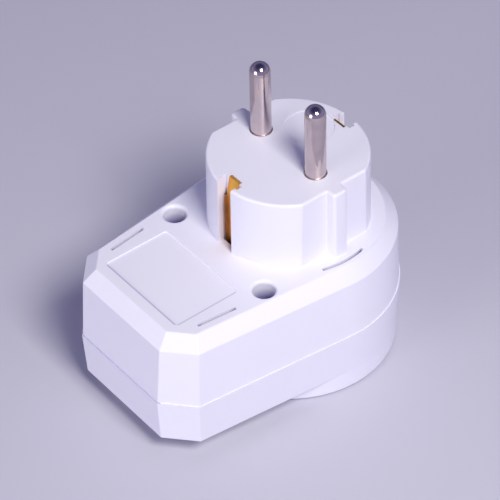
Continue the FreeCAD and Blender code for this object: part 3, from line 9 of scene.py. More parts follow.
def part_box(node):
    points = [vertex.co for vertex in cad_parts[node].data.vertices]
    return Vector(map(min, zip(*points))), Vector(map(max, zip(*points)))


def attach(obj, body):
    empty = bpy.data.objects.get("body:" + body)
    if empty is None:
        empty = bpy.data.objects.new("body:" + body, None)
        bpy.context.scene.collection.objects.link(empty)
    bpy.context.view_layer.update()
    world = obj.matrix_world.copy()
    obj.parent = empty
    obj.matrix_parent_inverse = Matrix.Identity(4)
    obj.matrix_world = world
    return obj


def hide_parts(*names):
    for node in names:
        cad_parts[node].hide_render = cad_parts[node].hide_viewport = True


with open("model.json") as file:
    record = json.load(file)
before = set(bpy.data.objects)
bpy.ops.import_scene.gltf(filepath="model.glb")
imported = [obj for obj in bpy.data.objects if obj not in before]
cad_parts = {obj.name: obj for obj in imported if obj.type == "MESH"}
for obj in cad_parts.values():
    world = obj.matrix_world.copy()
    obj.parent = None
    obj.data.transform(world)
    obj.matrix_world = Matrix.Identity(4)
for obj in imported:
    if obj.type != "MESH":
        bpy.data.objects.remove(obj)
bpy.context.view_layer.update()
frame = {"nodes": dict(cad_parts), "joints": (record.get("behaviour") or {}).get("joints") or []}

bl_info = {
    "name": "Switched Plug Adapter",
    "version": (1, 0, 0),
    "blender": (4, 5, 0),
    "location": "View3D > Sidebar > Adapter",
    "description": "Finishes of a switched plug adapter, its small wound parts and a pale studio",
    "category": "Object",
}

MM = 0.001

# Moulded plastic
FLOW_SIZE = 80  # of the flow marks, in sizes of the mould grain
GRAIN_HEIGHT = 0.006  # in sizes of the mould grain
GRAIN_DETAIL = 4
GRAIN_STRENGTH = 0.3
FLOW_TINTS = (0.992, 1.004)
COVER_GLOSS = 0.38
HOUSING_GLOSS = 0.36
ROCKER_GLOSS = 0.20
GLOSS_RANGE = (-0.02, 0.03)  # added to the roughness of a finish
PLASTIC_IOR = 1.49
GLOW_WEIGHT = 0.05  # light that scatters under the surface
GLOW_RADIUS = (1.0, 0.95, 1.0)
GLOW_DEPTH = 0.5 * MM

# Painted shade on moulded plastic: where it is darker, in slots, screw holes, along the label's
# edges, on the parting line and on the dish's wall
PAINTED_SHADE_TINT = (0.26, 0.25, 0.50)  # share of its colour that is left in slots and holes, as painted shade
PAINTED_SHADE_LINE_TINT = (0.58, 0.56, 0.70)  # the same along the label's edges and the parting line, as painted shade lines
CREVICE = 1.5 * MM  # slots narrower than this get painted shade
CREVICE_OPENNESS = (0.20, 0.35)  # openness where they are darkest, and where they stay light
CREVICE_SAMPLES = 16
HOLE_REACH = 2.7 * MM  # from a screw's axis to just beyond the wall of its hole
HOLE_FLOOR = 1.5 * MM  # that wall goes this far below the top of the screw
HOLE_RIM = 33.4 * MM  # height at which painted shade in a screw hole starts
HOLE_DARK = 30.7 * MM  # height at which that painted shade is darkest
LABEL_CENTRE = (-33.45 * MM, 0, 35.2 * MM)  # floor of the label recess
LABEL_HALF = (8.6 * MM, 12.95 * MM, 0.1 * MM)
LABEL_SHADOW_LINE = 0.7 * MM  # reach of the painted shadow line along two of its edges
SEAM_HEIGHT = 17.0 * MM  # parting line, with painted shade across the switch end
SEAM_HALF = 0.06 * MM
SEAM_END = -48.3 * MM
DISH_CENTRE = (8.7 * MM, 3.3 * MM)  # shallow dish in the plug face
DISH_REACH = 6.0 * MM
DISH_MIDDLE = 53.675 * MM  # half the height of its wall
DISH_HALF = 0.12 * MM
# painted shade that dims the dish's low wall
DISH_SHADE_TINT = 0.8

# Uncoloured plastic
CLOUD_SIZE = 4 * MM
CLOUD_TINTS = (0.90, 1.08)
MATTE_SIZE = 1 * MM
MATTE_ROUGHNESS = (0.45, 0.62)
MATTE_HEIGHT = 0.03  # in sizes of the mould grain

# Plated and rolled metal
PLATED_CLOUDS = 3 * MM
PLATED_TINTS = (0.92, 1.06)
PLATED_ROUGHNESS = (0.08, 0.17)
RING_STRETCH = (0.02, 0.02, 1)  # lines round an upright pin
LINE_HEIGHT = 0.01  # in spacings of the drawing lines
LINE_STRENGTH = 0.3
PIN_FOOT = 53.92 * MM  # height up to which the pins' thicker shanks show over the plug face
FOOT_ROUGHNESS = 0.45
FOOT_FADE = 0.05 * MM
ROLLED_STRETCH = (1, 1, 0.03)  # lines along an upright strip
ROLLED_HEIGHT = 0.04  # in spacings of the drawing lines
ROLLED_RANGE = (-0.08, 0.12)  # added to the roughness of a finish
TARNISH_SIZE = 3.5 * MM
TARNISH_SHARE = (0.42, 0.66)  # noise from where tarnish starts to where it covers all
PAINTED_LIGHT_FROM = 48.6 * MM  # painted light on the earth strips starts here
PAINTED_LIGHT_TO = 50.4 * MM  # to here and above
SILVER = (0.85, 0.84, 0.83)

# Screw threads and spring
THREAD_STEPS = 28  # points of a turn
THREAD_SIDES = 3
THREAD_RUNOUT = 0.9  # share of its length after which the ridge thins
THREAD_END = 0.25  # its thickness at the very end
COIL_STEPS = 36
WIRE_SIDES = 12
COIL_REST = 0.9  # turns that lie flat at each end
ROCKER_TILT = math.radians(-12)  # the rocker's rest position, off its middle one
SPRING_RADIUS = 1.0 * MM
SPRING_FOOT = -1.55 * MM  # from the rocker's pivot along its stem, as the next one
SPRING_HEAD = 1.65 * MM

# Studio: angles in degrees, the rest in metres
LIGHTS = {
    "key": {"azimuth": -12, "elevation": 51, "distance": 0.8, "size": 0.26,
            "colour": (1.0, 0.975, 0.91)},
    "fill": {"azimuth": -86, "elevation": 13.5, "distance": 0.9, "size": 0.4,
             "colour": (1.0, 0.985, 0.92)},
}
HORIZON_UP_TO = 15
ZENITH_FROM = 60
BACKDROP_TURN = -37.7
FLOOR_HALF = 3.0
FLOOR_DEPTH = 2.2
BACKDROP_HEIGHT = 1.0
BACKDROP_BEND = 0.7
BEND_STEPS = 24
FLOOR_ROUGHNESS = 0.9
FLOOR_CLOUDS = 0.4
FLOOR_TINTS = (0.99, 1.01)
SENSOR = 36  # millimetres
CLIPPING = (0.05, 20)

# Which CAD nodes take which finish
FINISHES = {
    "moulded": ("rear_cover", "front_cover"),
    "switch": ("switch_housing",),
    "rocker": ("rocker",),
    "natural": ("contact_carrier", "rocker_plunger"),
    "plated": ("line_pin", "neutral_pin"),
    "strip": ("earth_strip_round_end", "earth_strip_switch_end"),
    "sheet": ("earth_bridge", "line_strap", "load_strap", "neutral_strap",
              "common_terminal", "output_terminal"),
    "bronze": ("line_contact", "neutral_contact", "contact_lever"),
    "steel": ("cover_screw_near", "cover_screw_far"),
    "silver": ("lever_tip", "fixed_tip"),
}


# Settings that a user would change

class AdapterFinish(bpy.types.PropertyGroup):
    """Colours and surface sizes."""
    moulded: bpy.props.FloatVectorProperty(
        name="Cover colour", description="Plastic of both covers", subtype="COLOR",
        size=3, min=0, max=1, default=(0.85, 0.84, 0.94))
    rocker: bpy.props.FloatVectorProperty(
        name="Rocker colour", description="Plastic of the rocker", subtype="COLOR",
        size=3, min=0, max=1, default=(0.86, 0.85, 0.90))
    natural: bpy.props.FloatVectorProperty(
        name="Inner plastic", description="Uncoloured plastic of the carrier and the plunger",
        subtype="COLOR", size=3, min=0, max=1, default=(0.62, 0.58, 0.48))
    plated: bpy.props.FloatVectorProperty(
        name="Pin plating", description="Nickel plating of the pins", subtype="COLOR",
        size=3, min=0, max=1, default=(0.62, 0.53, 0.53))
    brass: bpy.props.FloatVectorProperty(
        name="Brass", description="Bare brass of strips and straps", subtype="COLOR",
        size=3, min=0, max=1, default=(0.78, 0.47, 0.10))
    strip: bpy.props.FloatVectorProperty(
        name="Earth strips", description="Browned brass of the earth strips", subtype="COLOR",
        size=3, min=0, max=1, default=(0.90, 0.41, 0.08))
    # Painted light: brighter brass on the lit upper part of the earth strips
    strip_painted_light: bpy.props.FloatVectorProperty(
        name="Strip tips", description="Brass rubbed bright on the tips of the earth strips",
        subtype="COLOR", size=3, min=0, max=1, default=(0.95, 0.53, 0.10))
    bronze: bpy.props.FloatVectorProperty(
        name="Bronze", description="Spring bronze of the contacts", subtype="COLOR",
        size=3, min=0, max=1, default=(0.66, 0.38, 0.20))
    steel: bpy.props.FloatVectorProperty(
        name="Steel", description="Zinc-plated steel", subtype="COLOR",
        size=3, min=0, max=1, default=(0.50, 0.50, 0.52))
    grain: bpy.props.FloatProperty(
        name="Mould grain", description="Size of the fine texture left by the mould",
        subtype="DISTANCE", unit="LENGTH", default=0.00025, min=0.00005, max=0.002)
    drawing: bpy.props.FloatProperty(
        name="Drawing lines", description="Spacing of the fine lines on drawn and rolled metal",
        subtype="DISTANCE", unit="LENGTH", default=0.00018, min=0.00005, max=0.002)


class AdapterWinding(bpy.types.PropertyGroup):
    """Sizes of the wound and threaded parts."""
    turns: bpy.props.FloatProperty(
        name="Spring turns", description="Open turns of the plunger spring",
        default=4.0, min=2, max=12)
    closed_turns: bpy.props.FloatProperty(
        name="Closed turns", description="Turns that lie flat at the spring's two ends together",
        default=1.8, min=0, max=4)
    wire: bpy.props.FloatProperty(
        name="Spring wire", description="Diameter of the spring wire",
        subtype="DISTANCE", unit="LENGTH", default=0.00034, min=0.0001, max=0.001)
    thread_pitch: bpy.props.FloatProperty(
        name="Thread pitch", description="Rise of the cover screws' thread in one turn",
        subtype="DISTANCE", unit="LENGTH", default=0.0012, min=0.0004, max=0.003)
    thread_depth: bpy.props.FloatProperty(
        name="Thread depth", description="Height of the thread over its core",
        subtype="DISTANCE", unit="LENGTH", default=0.00026, min=0.0001, max=0.001)
    thread_core: bpy.props.FloatProperty(
        name="Thread core", description="Radius that the thread is wound on",
        subtype="DISTANCE", unit="LENGTH", default=0.0014, min=0.0005, max=0.003)
    thread_length: bpy.props.FloatProperty(
        name="Thread length", description="Length of the thread along the screw",
        subtype="DISTANCE", unit="LENGTH", default=0.0086, min=0.002, max=0.02)
    thread_lead: bpy.props.FloatProperty(
        name="Plain point", description="Length of the screw's point below its thread",
        subtype="DISTANCE", unit="LENGTH", default=0.0009, min=0.0, max=0.005)


class AdapterStage(bpy.types.PropertyGroup):
    """Camera and lights."""
    azimuth: bpy.props.FloatProperty(
        name="Azimuth", description="Camera direction round the object",
        subtype="ANGLE", unit="ROTATION", default=math.radians(-37.693))
    elevation: bpy.props.FloatProperty(
        name="Elevation", description="Camera height above the horizon",
        subtype="ANGLE", unit="ROTATION", default=math.radians(43.046))
    roll: bpy.props.FloatProperty(
        name="Roll", description="Camera turned about its own axis",
        subtype="ANGLE", unit="ROTATION", default=math.radians(-1.452))
    distance: bpy.props.FloatProperty(
        name="Distance", description="Camera to the point it looks at",
        subtype="DISTANCE", unit="LENGTH", default=0.672058)
    target: bpy.props.FloatVectorProperty(
        name="Target", description="Point that the camera looks at",
        subtype="TRANSLATION", unit="LENGTH", size=3, default=(-0.007284, 0.005224, 0.024365))
    lens: bpy.props.FloatProperty(
        name="Lens", description="Focal length in millimetres on a 36 mm sensor",
        default=212.713, min=20, max=400)
    floor: bpy.props.FloatVectorProperty(
        name="Floor", description="Colour of the studio floor", subtype="COLOR",
        size=3, min=0, max=1, default=(0.58, 0.57, 0.66))
    key: bpy.props.FloatProperty(
        name="Key light", description="Power of the soft light beside the camera, in watts",
        default=5.3, min=0, max=100)
    fill: bpy.props.FloatProperty(
        name="Fill light", description="Power of the low light before the switch end, in watts",
        default=2.4, min=0, max=100)
    horizon: bpy.props.FloatVectorProperty(
        name="Horizon", description="Light of the surroundings near the floor", subtype="COLOR",
        size=3, min=0, max=1, default=(0.33, 0.32, 0.56))
    zenith: bpy.props.FloatVectorProperty(
        name="Zenith", description="Light of the surroundings overhead", subtype="COLOR",
        size=3, min=0, max=1, default=(0.045, 0.042, 0.14))


GROUPS = {
    "adapter_finish": AdapterFinish,
    "adapter_winding": AdapterWinding,
    "adapter_stage": AdapterStage,
}


# Shader helpers

def new_material(name):
    """Empty material with a Principled shader, its node tree and the shader."""
    material = bpy.data.materials.new(name)
    material.use_nodes = True
    tree = material.node_tree
    shader = next(node for node in tree.nodes if node.type == "BSDF_PRINCIPLED")
    return material, tree, shader


def wire_up(tree, kind, inputs=None, **settings):
    """New node with its settings, whose inputs are values or other nodes' outputs."""
    node = tree.nodes.new(kind)
    for name, value in settings.items():
        setattr(node, name, value)
    for name, value in (inputs or {}).items():
        if isinstance(value, bpy.types.NodeSocket):
            tree.links.new(value, node.inputs[name])
        else:
            node.inputs[name].default_value = value
    return node


def object_points(tree, stretch=(1, 1, 1)):
    """Object coordinates, stretched per axis."""
    place = wire_up(tree, "ShaderNodeTexCoord")
    mapping = wire_up(tree, "ShaderNodeMapping", {
        "Vector": place.outputs["Object"], "Scale": stretch})
    return mapping.outputs["Vector"]


def object_axes(tree):
    """Outputs X, Y and Z of the object coordinates."""
    return wire_up(tree, "ShaderNodeSeparateXYZ", {"Vector": object_points(tree)}).outputs


def noise(tree, size, points, detail=2.0):
    """Noise whose features have the given size in metres."""
    node = wire_up(tree, "ShaderNodeTexNoise", {
        "Vector": points, "Scale": 1 / size, "Detail": detail})
    return node.outputs["Fac"]


def spread(tree, value, low, high, start=0.3, stop=0.7):
    """Value brought from one range to another."""
    node = wire_up(tree, "ShaderNodeMapRange", {
        "Value": value, "From Min": start, "From Max": stop, "To Min": low, "To Max": high})
    return node.outputs["Result"]


def blend_colours(tree, share, first, second):
    """First colour where the share is 0, second where it is 1."""
    node = wire_up(tree, "ShaderNodeMix", data_type="RGBA")
    tree.links.new(share, node.inputs["Factor"])
    for socket, colour in ((node.inputs[6], first), (node.inputs[7], second)):
        if isinstance(colour, bpy.types.NodeSocket):
            tree.links.new(colour, socket)
        else:
            socket.default_value = (*colour, 1)
    return node.outputs[2]


def tinted(colour, factor):
    """Colour times one factor or one per channel."""
    factors = factor if isinstance(factor, tuple) else (factor,) * len(colour)
    return tuple(min(1, channel * share) for channel, share in zip(colour, factors))


def tint_range(tree, share, colour, tints):
    """Colour that wanders between two tints."""
    first, second = (tinted(colour, tint) for tint in tints)
    return blend_colours(tree, spread(tree, share, 0, 1), first, second)


def combine(tree, operation, first, second):
    """Result of a math node, each operand being a value or another node's output."""
    node = wire_up(tree, "ShaderNodeMath", operation=operation)
    for index, operand in enumerate((first, second)):
        if isinstance(operand, bpy.types.NodeSocket):
            tree.links.new(operand, node.inputs[index])
        else:
            node.inputs[index].default_value = operand
    return node.outputs[0]


def openness(tree, reach, closed, free):
    """0 where nearby surfaces shut out the surroundings, 1 where they leave them open."""
    node = wire_up(tree, "ShaderNodeAmbientOcclusion", {"Distance": reach},
                   samples=CREVICE_SAMPLES)
    return spread(tree, node.outputs["AO"], 0, 1, closed, free)


def off_band(tree, value, middle, half):
    """1 further than half from the middle, 0 nearer to it."""
    away = combine(tree, "ABSOLUTE", combine(tree, "SUBTRACT", value, middle), 0)
    return combine(tree, "GREATER_THAN", away, half)


def off_circle(tree, axes, centre, radius):
    """1 further than the radius from an upright axis, 0 nearer to it."""
    squares = []
    for axis, middle in zip("XY", centre):
        away = combine(tree, "SUBTRACT", axes[axis], middle)
        squares.append(combine(tree, "MULTIPLY", away, away))
    return combine(tree, "GREATER_THAN", combine(tree, "ADD", *squares), radius ** 2)


def hole_painted_shade(tree, axes):
    """1 outside the screw holes, falling to 0 with depth inside them, where shade is painted on
    their walls.
    """
    light = spread(tree, axes["Z"], 0, 1, HOLE_DARK, HOLE_RIM)
    beyond = 1.0
    for node in FINISHES["steel"]:
        low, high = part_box(node)
        outside = off_circle(tree, axes, (low + high) / 2, HOLE_REACH)
        below = combine(tree, "LESS_THAN", axes["Z"], high.z - HOLE_FLOOR)
        beyond = combine(tree, "MINIMUM", combine(tree, "MAXIMUM", outside, below), beyond)
    return combine(tree, "MAXIMUM", light, beyond)


def seam_painted_shade(tree, axes):
    """0 on the ledge of the parting line across the switch end, where shade is painted, 1
    elsewhere.
    """
    above = off_band(tree, axes["Z"], SEAM_HEIGHT, SEAM_HALF)
    inward = combine(tree, "GREATER_THAN", axes["X"], SEAM_END)
    return combine(tree, "MAXIMUM", above, inward)


def dish_painted_shade(tree, axes):
    """0 on the low wall of the dish in the plug face, where shade is painted, 1 elsewhere."""
    above = off_band(tree, axes["Z"], DISH_MIDDLE, DISH_HALF)
    return combine(tree, "MAXIMUM", above, off_circle(tree, axes, DISH_CENTRE, DISH_REACH))


def label_painted_shadow(tree, axes):
    """0 on the label recess's floor along its near side and its switch end, where a shadow line
    is painted, 1 elsewhere.
    """
    share = 1.0
    for axis, centre, half in zip("XY", LABEL_CENTRE, LABEL_HALF):
        low = centre - half
        ramp = spread(tree, axes[axis], 0, 1, low + LABEL_SHADOW_LINE / 2, low + LABEL_SHADOW_LINE)
        share = combine(tree, "MINIMUM", ramp, share)
    for axis, centre, half in zip("XYZ", LABEL_CENTRE, LABEL_HALF):
        share = combine(tree, "MAXIMUM", share, off_band(tree, axes[axis], centre, half))
    return share


def relief(tree, shader, height, distance, strength=0.5):
    """Bump of a few micrometres from a height value."""
    bump = wire_up(tree, "ShaderNodeBump", {
        "Height": height, "Distance": distance, "Strength": strength})
    tree.links.new(bump.outputs["Normal"], shader.inputs["Normal"])


# Finishes

def moulded_plastic(name, colour, grain, gloss=COVER_GLOSS):
    """Moulded plastic: slight flow tint, painted shade in crevices, screw holes, along edges and
    on the dish's wall, fine mould texture and a soft gloss.
    """
    material, tree, shader = new_material(name)
    points, axes = object_points(tree), object_axes(tree)
    shade = tint_range(tree, noise(tree, FLOW_SIZE * grain, points, 1), colour, FLOW_TINTS)
    # Painted shade in slots and screw holes
    light = combine(tree, "MINIMUM", openness(tree, CREVICE, *CREVICE_OPENNESS),
                    hole_painted_shade(tree, axes))
    shade = blend_colours(tree, light, tinted(colour, PAINTED_SHADE_TINT), shade)
    # Painted shadow line along the label recess, and painted shade on the parting line's ledge
    edges = combine(tree, "MINIMUM", label_painted_shadow(tree, axes), seam_painted_shade(tree, axes))
    shade = blend_colours(tree, edges, tinted(colour, PAINTED_SHADE_LINE_TINT), shade)
    # Painted shade on the dish's low wall
    shade = blend_colours(tree, dish_painted_shade(tree, axes), tinted(colour, DISH_SHADE_TINT), shade)
    tree.links.new(shade, shader.inputs["Base Color"])
    texture = noise(tree, grain, points, GRAIN_DETAIL)
    low, high = (gloss + change for change in GLOSS_RANGE)
    tree.links.new(spread(tree, texture, low, high), shader.inputs["Roughness"])
    relief(tree, shader, texture, grain * GRAIN_HEIGHT, GRAIN_STRENGTH)
    shader.inputs["Subsurface Weight"].default_value = GLOW_WEIGHT
    shader.inputs["Subsurface Radius"].default_value = GLOW_RADIUS
    shader.inputs["Subsurface Scale"].default_value = GLOW_DEPTH
    shader.inputs["IOR"].default_value = PLASTIC_IOR
    return material


def natural_plastic(name, colour, grain):
    """Uncoloured heat-resistant plastic with a matte surface."""
    material, tree, shader = new_material(name)
    points = object_points(tree)
    shade = tint_range(tree, noise(tree, CLOUD_SIZE, points, 4), colour, CLOUD_TINTS)
    tree.links.new(shade, shader.inputs["Base Color"])
    rough = spread(tree, noise(tree, MATTE_SIZE, points), *MATTE_ROUGHNESS)
    tree.links.new(rough, shader.inputs["Roughness"])
    relief(tree, shader, noise(tree, grain, points, 3), grain * MATTE_HEIGHT)
    return material


def plated_metal(name, colour, line, dull_below=0.0):
    """Nickel on turned brass: bright, with fine lines round the pin and a dull foot."""
    material, tree, shader = new_material(name)
    rings = object_points(tree, RING_STRETCH)
    cloud = noise(tree, PLATED_CLOUDS, object_points(tree), 3)
    tree.links.new(tint_range(tree, cloud, colour, PLATED_TINTS), shader.inputs["Base Color"])
    bright = spread(tree, noise(tree, line * 2, rings, 4), *PLATED_ROUGHNESS)
    foot = spread(tree, object_axes(tree)["Z"], FOOT_ROUGHNESS, 0.0,
                  dull_below, dull_below + FOOT_FADE)
    tree.links.new(combine(tree, "MAXIMUM", bright, foot), shader.inputs["Roughness"])
    relief(tree, shader, noise(tree, line, rings, 2), line * LINE_HEIGHT, LINE_STRENGTH)
    shader.inputs["Metallic"].default_value = 1.0
    return material


def rolled_metal(name, colour, line, tarnish, rough, rubbed=None):
    """Rolled sheet with lines along its length and dull patches, with painted light above a
    height when a colour for it is given.
    """
    material, tree, shader = new_material(name)
    lines = object_points(tree, ROLLED_STRETCH)
    patches = noise(tree, TARNISH_SIZE, object_points(tree), 5)
    dull = tinted(colour, 1 - tarnish)
    shade = blend_colours(tree, spread(tree, patches, 0, 1, *TARNISH_SHARE), colour, dull)
    # Painted light: the colour turns brighter above a height
    if rubbed is not None:
        share = spread(tree, object_axes(tree)["Z"], 0, 1, PAINTED_LIGHT_FROM, PAINTED_LIGHT_TO)
        shade = blend_colours(tree, share, shade, rubbed)
    tree.links.new(shade, shader.inputs["Base Color"])
    streaks = noise(tree, line * 2, lines, 4)
    low, high = (rough + change for change in ROLLED_RANGE)
    tree.links.new(spread(tree, streaks, low, high), shader.inputs["Roughness"])
    relief(tree, shader, noise(tree, line, lines, 3), line * ROLLED_HEIGHT)
    shader.inputs["Metallic"].default_value = 1.0
    return material


def dress(nodes, material):
    """Give CAD nodes a finish in their own material slots."""
    for name in nodes:
        slots = frame["nodes"][name].material_slots
        if not slots:
            raise RuntimeError("%s has no material slot" % name)
        for slot in slots:
            slot.material = material


# Geometry Nodes helpers

class Recipe:
    """A Geometry Nodes tree with named inputs, built node by node."""

    def __init__(self, name, inputs):
        self.tree = bpy.data.node_groups.new(name, "GeometryNodeTree")
        self.tree.interface.new_socket("Geometry", in_out="OUTPUT",
                                       socket_type="NodeSocketGeometry")
        for label, (kind, value) in inputs.items():
            socket = self.tree.interface.new_socket(label, in_out="INPUT", socket_type=kind)
            socket.default_value = value
        self.entry = self.tree.nodes.new("NodeGroupInput")
        self.exit = self.tree.nodes.new("NodeGroupOutput")

    def add(self, kind, inputs=None, **settings):
        """New node of the tree."""
        return wire_up(self.tree, kind, inputs, **settings)

    def value(self, label):
        """Output that carries a named input."""
        return self.entry.outputs[label]

    def math(self, operation, first, second):
        """Result of a math node."""
        return combine(self.tree, operation, first, second)

    def close(self, geometry, material):
        """Realize the instances, set the material and end the tree."""
        real = self.add("GeometryNodeRealizeInstances", {"Geometry": geometry})
        painted = self.add("GeometryNodeSetMaterial", {"Geometry": real.outputs["Geometry"]})
        painted.inputs["Material"].default_value = material
        self.tree.links.new(painted.outputs["Geometry"], self.exit.inputs["Geometry"])
        return self.tree


def grow(name, tree, values, material, place):
    """Plain mesh object from a Geometry Nodes tree, its mesh moved to its place."""
    holder = bpy.data.objects.new(name + "_seed", bpy.data.meshes.new(name + "_seed"))
    bpy.context.scene.collection.objects.link(holder)
    modifier = holder.modifiers.new("grow", "NODES")
    modifier.node_group = tree
    sockets = {item.name: item.identifier for item in tree.interface.items_tree
               if item.item_type == "SOCKET" and item.in_out == "INPUT"}
    for label, value in values.items():
        modifier[sockets[label]] = value
    bpy.context.view_layer.update()
    evaluated = holder.evaluated_get(bpy.context.evaluated_depsgraph_get())
    mesh = bpy.data.meshes.new_from_object(evaluated)
    holder.modifiers.remove(modifier)
    bpy.data.objects.remove(holder)
    mesh.name = name
    mesh.transform(place)
    piece = bpy.data.objects.new(name, mesh)
    bpy.context.scene.collection.objects.link(piece)
    if not mesh.materials:
        mesh.materials.append(material)
    mesh.shade_smooth()
    return piece


# Operators: one for each piece or group of like pieces

class ADAPTER_OT_covers(bpy.types.Operator):
    """White moulded plastic for both covers"""
    bl_idname = "adapter.covers"
    bl_label = "Covers"
    bl_options = {"REGISTER", "UNDO"}

    def execute(self, context):
        scene = context.scene
        finish = scene.adapter_finish
        dress(FINISHES["moulded"], moulded_plastic("moulded", finish.moulded, finish.grain))
        return {"FINISHED"}


class ADAPTER_OT_switch(bpy.types.Operator):
    """Plastic of the rocker, its housing, the plunger and the contact carrier"""
    bl_idname = "adapter.switch"
    bl_label = "Rocker switch"
    bl_options = {"REGISTER", "UNDO"}

    def execute(self, context):
        scene = context.scene
        finish = scene.adapter_finish
        dress(FINISHES["switch"], moulded_plastic(
            "switch", finish.moulded, finish.grain, HOUSING_GLOSS))
        dress(FINISHES["rocker"], moulded_plastic(
            "rocker", finish.rocker, finish.grain, ROCKER_GLOSS))
        dress(FINISHES["natural"], natural_plastic("natural", finish.natural, finish.grain))
        return {"FINISHED"}


class ADAPTER_OT_pins(bpy.types.Operator):
    """Bright plating of the two pins"""
    bl_idname = "adapter.pins"
    bl_label = "Pins"
    bl_options = {"REGISTER", "UNDO"}

    def execute(self, context):
        scene = context.scene
        finish = scene.adapter_finish
        dress(FINISHES["plated"], plated_metal("plated", finish.plated, finish.drawing, PIN_FOOT))
        return {"FINISHED"}


class ADAPTER_OT_strips(bpy.types.Operator):
    """Brass earth strips in the plug's sides and the clips in the well, with painted light on
    their upper part
    """
    bl_idname = "adapter.strips"
    bl_label = "Earth strips"
    bl_options = {"REGISTER", "UNDO"}

    def execute(self, context):
        scene = context.scene
        finish = scene.adapter_finish
        # The strips' upper part gets painted light
        dress(FINISHES["strip"], rolled_metal(
            "strip", finish.strip, finish.drawing, tarnish=0.18, rough=0.34,
            rubbed=finish.strip_painted_light))
        return {"FINISHED"}


class ADAPTER_OT_wiring(bpy.types.Operator):
    """Straps, contacts and contact tips inside the covers"""
    bl_idname = "adapter.wiring"
    bl_label = "Wiring"
    bl_options = {"REGISTER", "UNDO"}

    def execute(self, context):
        scene = context.scene
        finish = scene.adapter_finish
        dress(FINISHES["sheet"], rolled_metal(
            "sheet", tinted(finish.brass, 0.95), finish.drawing, tarnish=0.45, rough=0.34))
        dress(FINISHES["bronze"], rolled_metal(
            "bronze", finish.bronze, finish.drawing, tarnish=0.35, rough=0.30))
        dress(FINISHES["silver"], plated_metal("silver", SILVER, finish.drawing))
        return {"FINISHED"}


def thread_recipe(steel):
    """Ridge of a tapping screw's thread, wound downwards from its top."""
    recipe = Recipe("screw_thread", {
        "Core": ("NodeSocketFloat", 0.00145), "Length": ("NodeSocketFloat", 0.01),
        "Pitch": ("NodeSocketFloat", 0.0012), "Depth": ("NodeSocketFloat", 0.00026)})
    turns = recipe.math("DIVIDE", recipe.value("Length"), recipe.value("Pitch"))
    fall = recipe.math("MULTIPLY", recipe.value("Length"), -1.0)
    path = recipe.add("GeometryNodeCurveSpiral", {
        "Resolution": THREAD_STEPS, "Rotations": turns, "Start Radius": recipe.value("Core"),
        "End Radius": recipe.value("Core"), "Height": fall})
    ridge = recipe.add("GeometryNodeCurvePrimitiveCircle", {
        "Resolution": THREAD_SIDES, "Radius": recipe.value("Depth")})
    taper = recipe.add("GeometryNodeSplineParameter")
    lead = recipe.add("ShaderNodeMapRange", {
        "Value": taper.outputs["Factor"], "From Min": THREAD_RUNOUT, "From Max": 1.0,
        "To Min": 1.0, "To Max": THREAD_END})
    thick = recipe.add("GeometryNodeSetCurveRadius", {
        "Curve": path.outputs["Curve"], "Radius": lead.outputs["Result"]})
    solid = recipe.add("GeometryNodeCurveToMesh", {
        "Curve": thick.outputs["Curve"], "Profile Curve": ridge.outputs["Curve"],
        "Fill Caps": True})
    return recipe.close(solid.outputs["Mesh"], steel)


def spring_recipe(steel):
    """Compression spring with a flat closed turn at each end."""
    recipe = Recipe("plunger_coil", {
        "Radius": ("NodeSocketFloat", 0.001), "Height": ("NodeSocketFloat", 0.003),
        "Turns": ("NodeSocketFloat", 4.0), "Wire": ("NodeSocketFloat", 0.00034)})
    path = recipe.add("GeometryNodeCurveSpiral", {
        "Resolution": COIL_STEPS, "Rotations": recipe.value("Turns"),
        "Start Radius": recipe.value("Radius"), "End Radius": recipe.value("Radius"),
        "Height": 1.0})
    share = recipe.add("GeometryNodeSplineParameter")
    closed = recipe.math("DIVIDE", COIL_REST, recipe.value("Turns"))
    rise = recipe.add("ShaderNodeMapRange", {
        "Value": share.outputs["Factor"], "From Min": closed,
        "From Max": recipe.math("SUBTRACT", 1.0, closed), "To Min": 0.0,
        "To Max": recipe.value("Height")}, interpolation_type="SMOOTHSTEP")
    place = recipe.add("GeometryNodeInputPosition")
    parts = recipe.add("ShaderNodeSeparateXYZ", {"Vector": place.outputs["Position"]})
    lifted = recipe.add("ShaderNodeCombineXYZ", {
        "X": parts.outputs["X"], "Y": parts.outputs["Y"], "Z": rise.outputs["Result"]})
    moved = recipe.add("GeometryNodeSetPosition", {
        "Geometry": path.outputs["Curve"], "Position": lifted.outputs["Vector"]})
    section = recipe.add("GeometryNodeCurvePrimitiveCircle", {
        "Resolution": WIRE_SIDES, "Radius": recipe.math("DIVIDE", recipe.value("Wire"), 2.0)})
    solid = recipe.add("GeometryNodeCurveToMesh", {
        "Curve": moved.outputs["Geometry"], "Profile Curve": section.outputs["Curve"],
        "Fill Caps": True})
    return recipe.close(solid.outputs["Mesh"], steel)


class ADAPTER_OT_screws(bpy.types.Operator):
    """Cover screws: plated steel with a wound thread on their shanks"""
    bl_idname = "adapter.screws"
    bl_label = "Cover screws"
    bl_options = {"REGISTER", "UNDO"}

    def execute(self, context):
        scene = context.scene
        finish, winding = scene.adapter_finish, scene.adapter_winding
        steel = rolled_metal("steel", finish.steel, finish.drawing, tarnish=0.25, rough=0.30)
        dress(FINISHES["steel"], steel)
        tree = thread_recipe(steel)
        for node in FINISHES["steel"]:
            low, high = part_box(node)
            middle = (low + high) / 2
            top = low.z + winding.thread_lead + winding.thread_length
            thread = grow(node + "_thread", tree, {
                "Core": winding.thread_core, "Length": winding.thread_length,
                "Pitch": winding.thread_pitch, "Depth": winding.thread_depth}, steel,
                Matrix.Translation((middle.x, middle.y, top)))
            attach(thread, "casing")
        return {"FINISHED"}


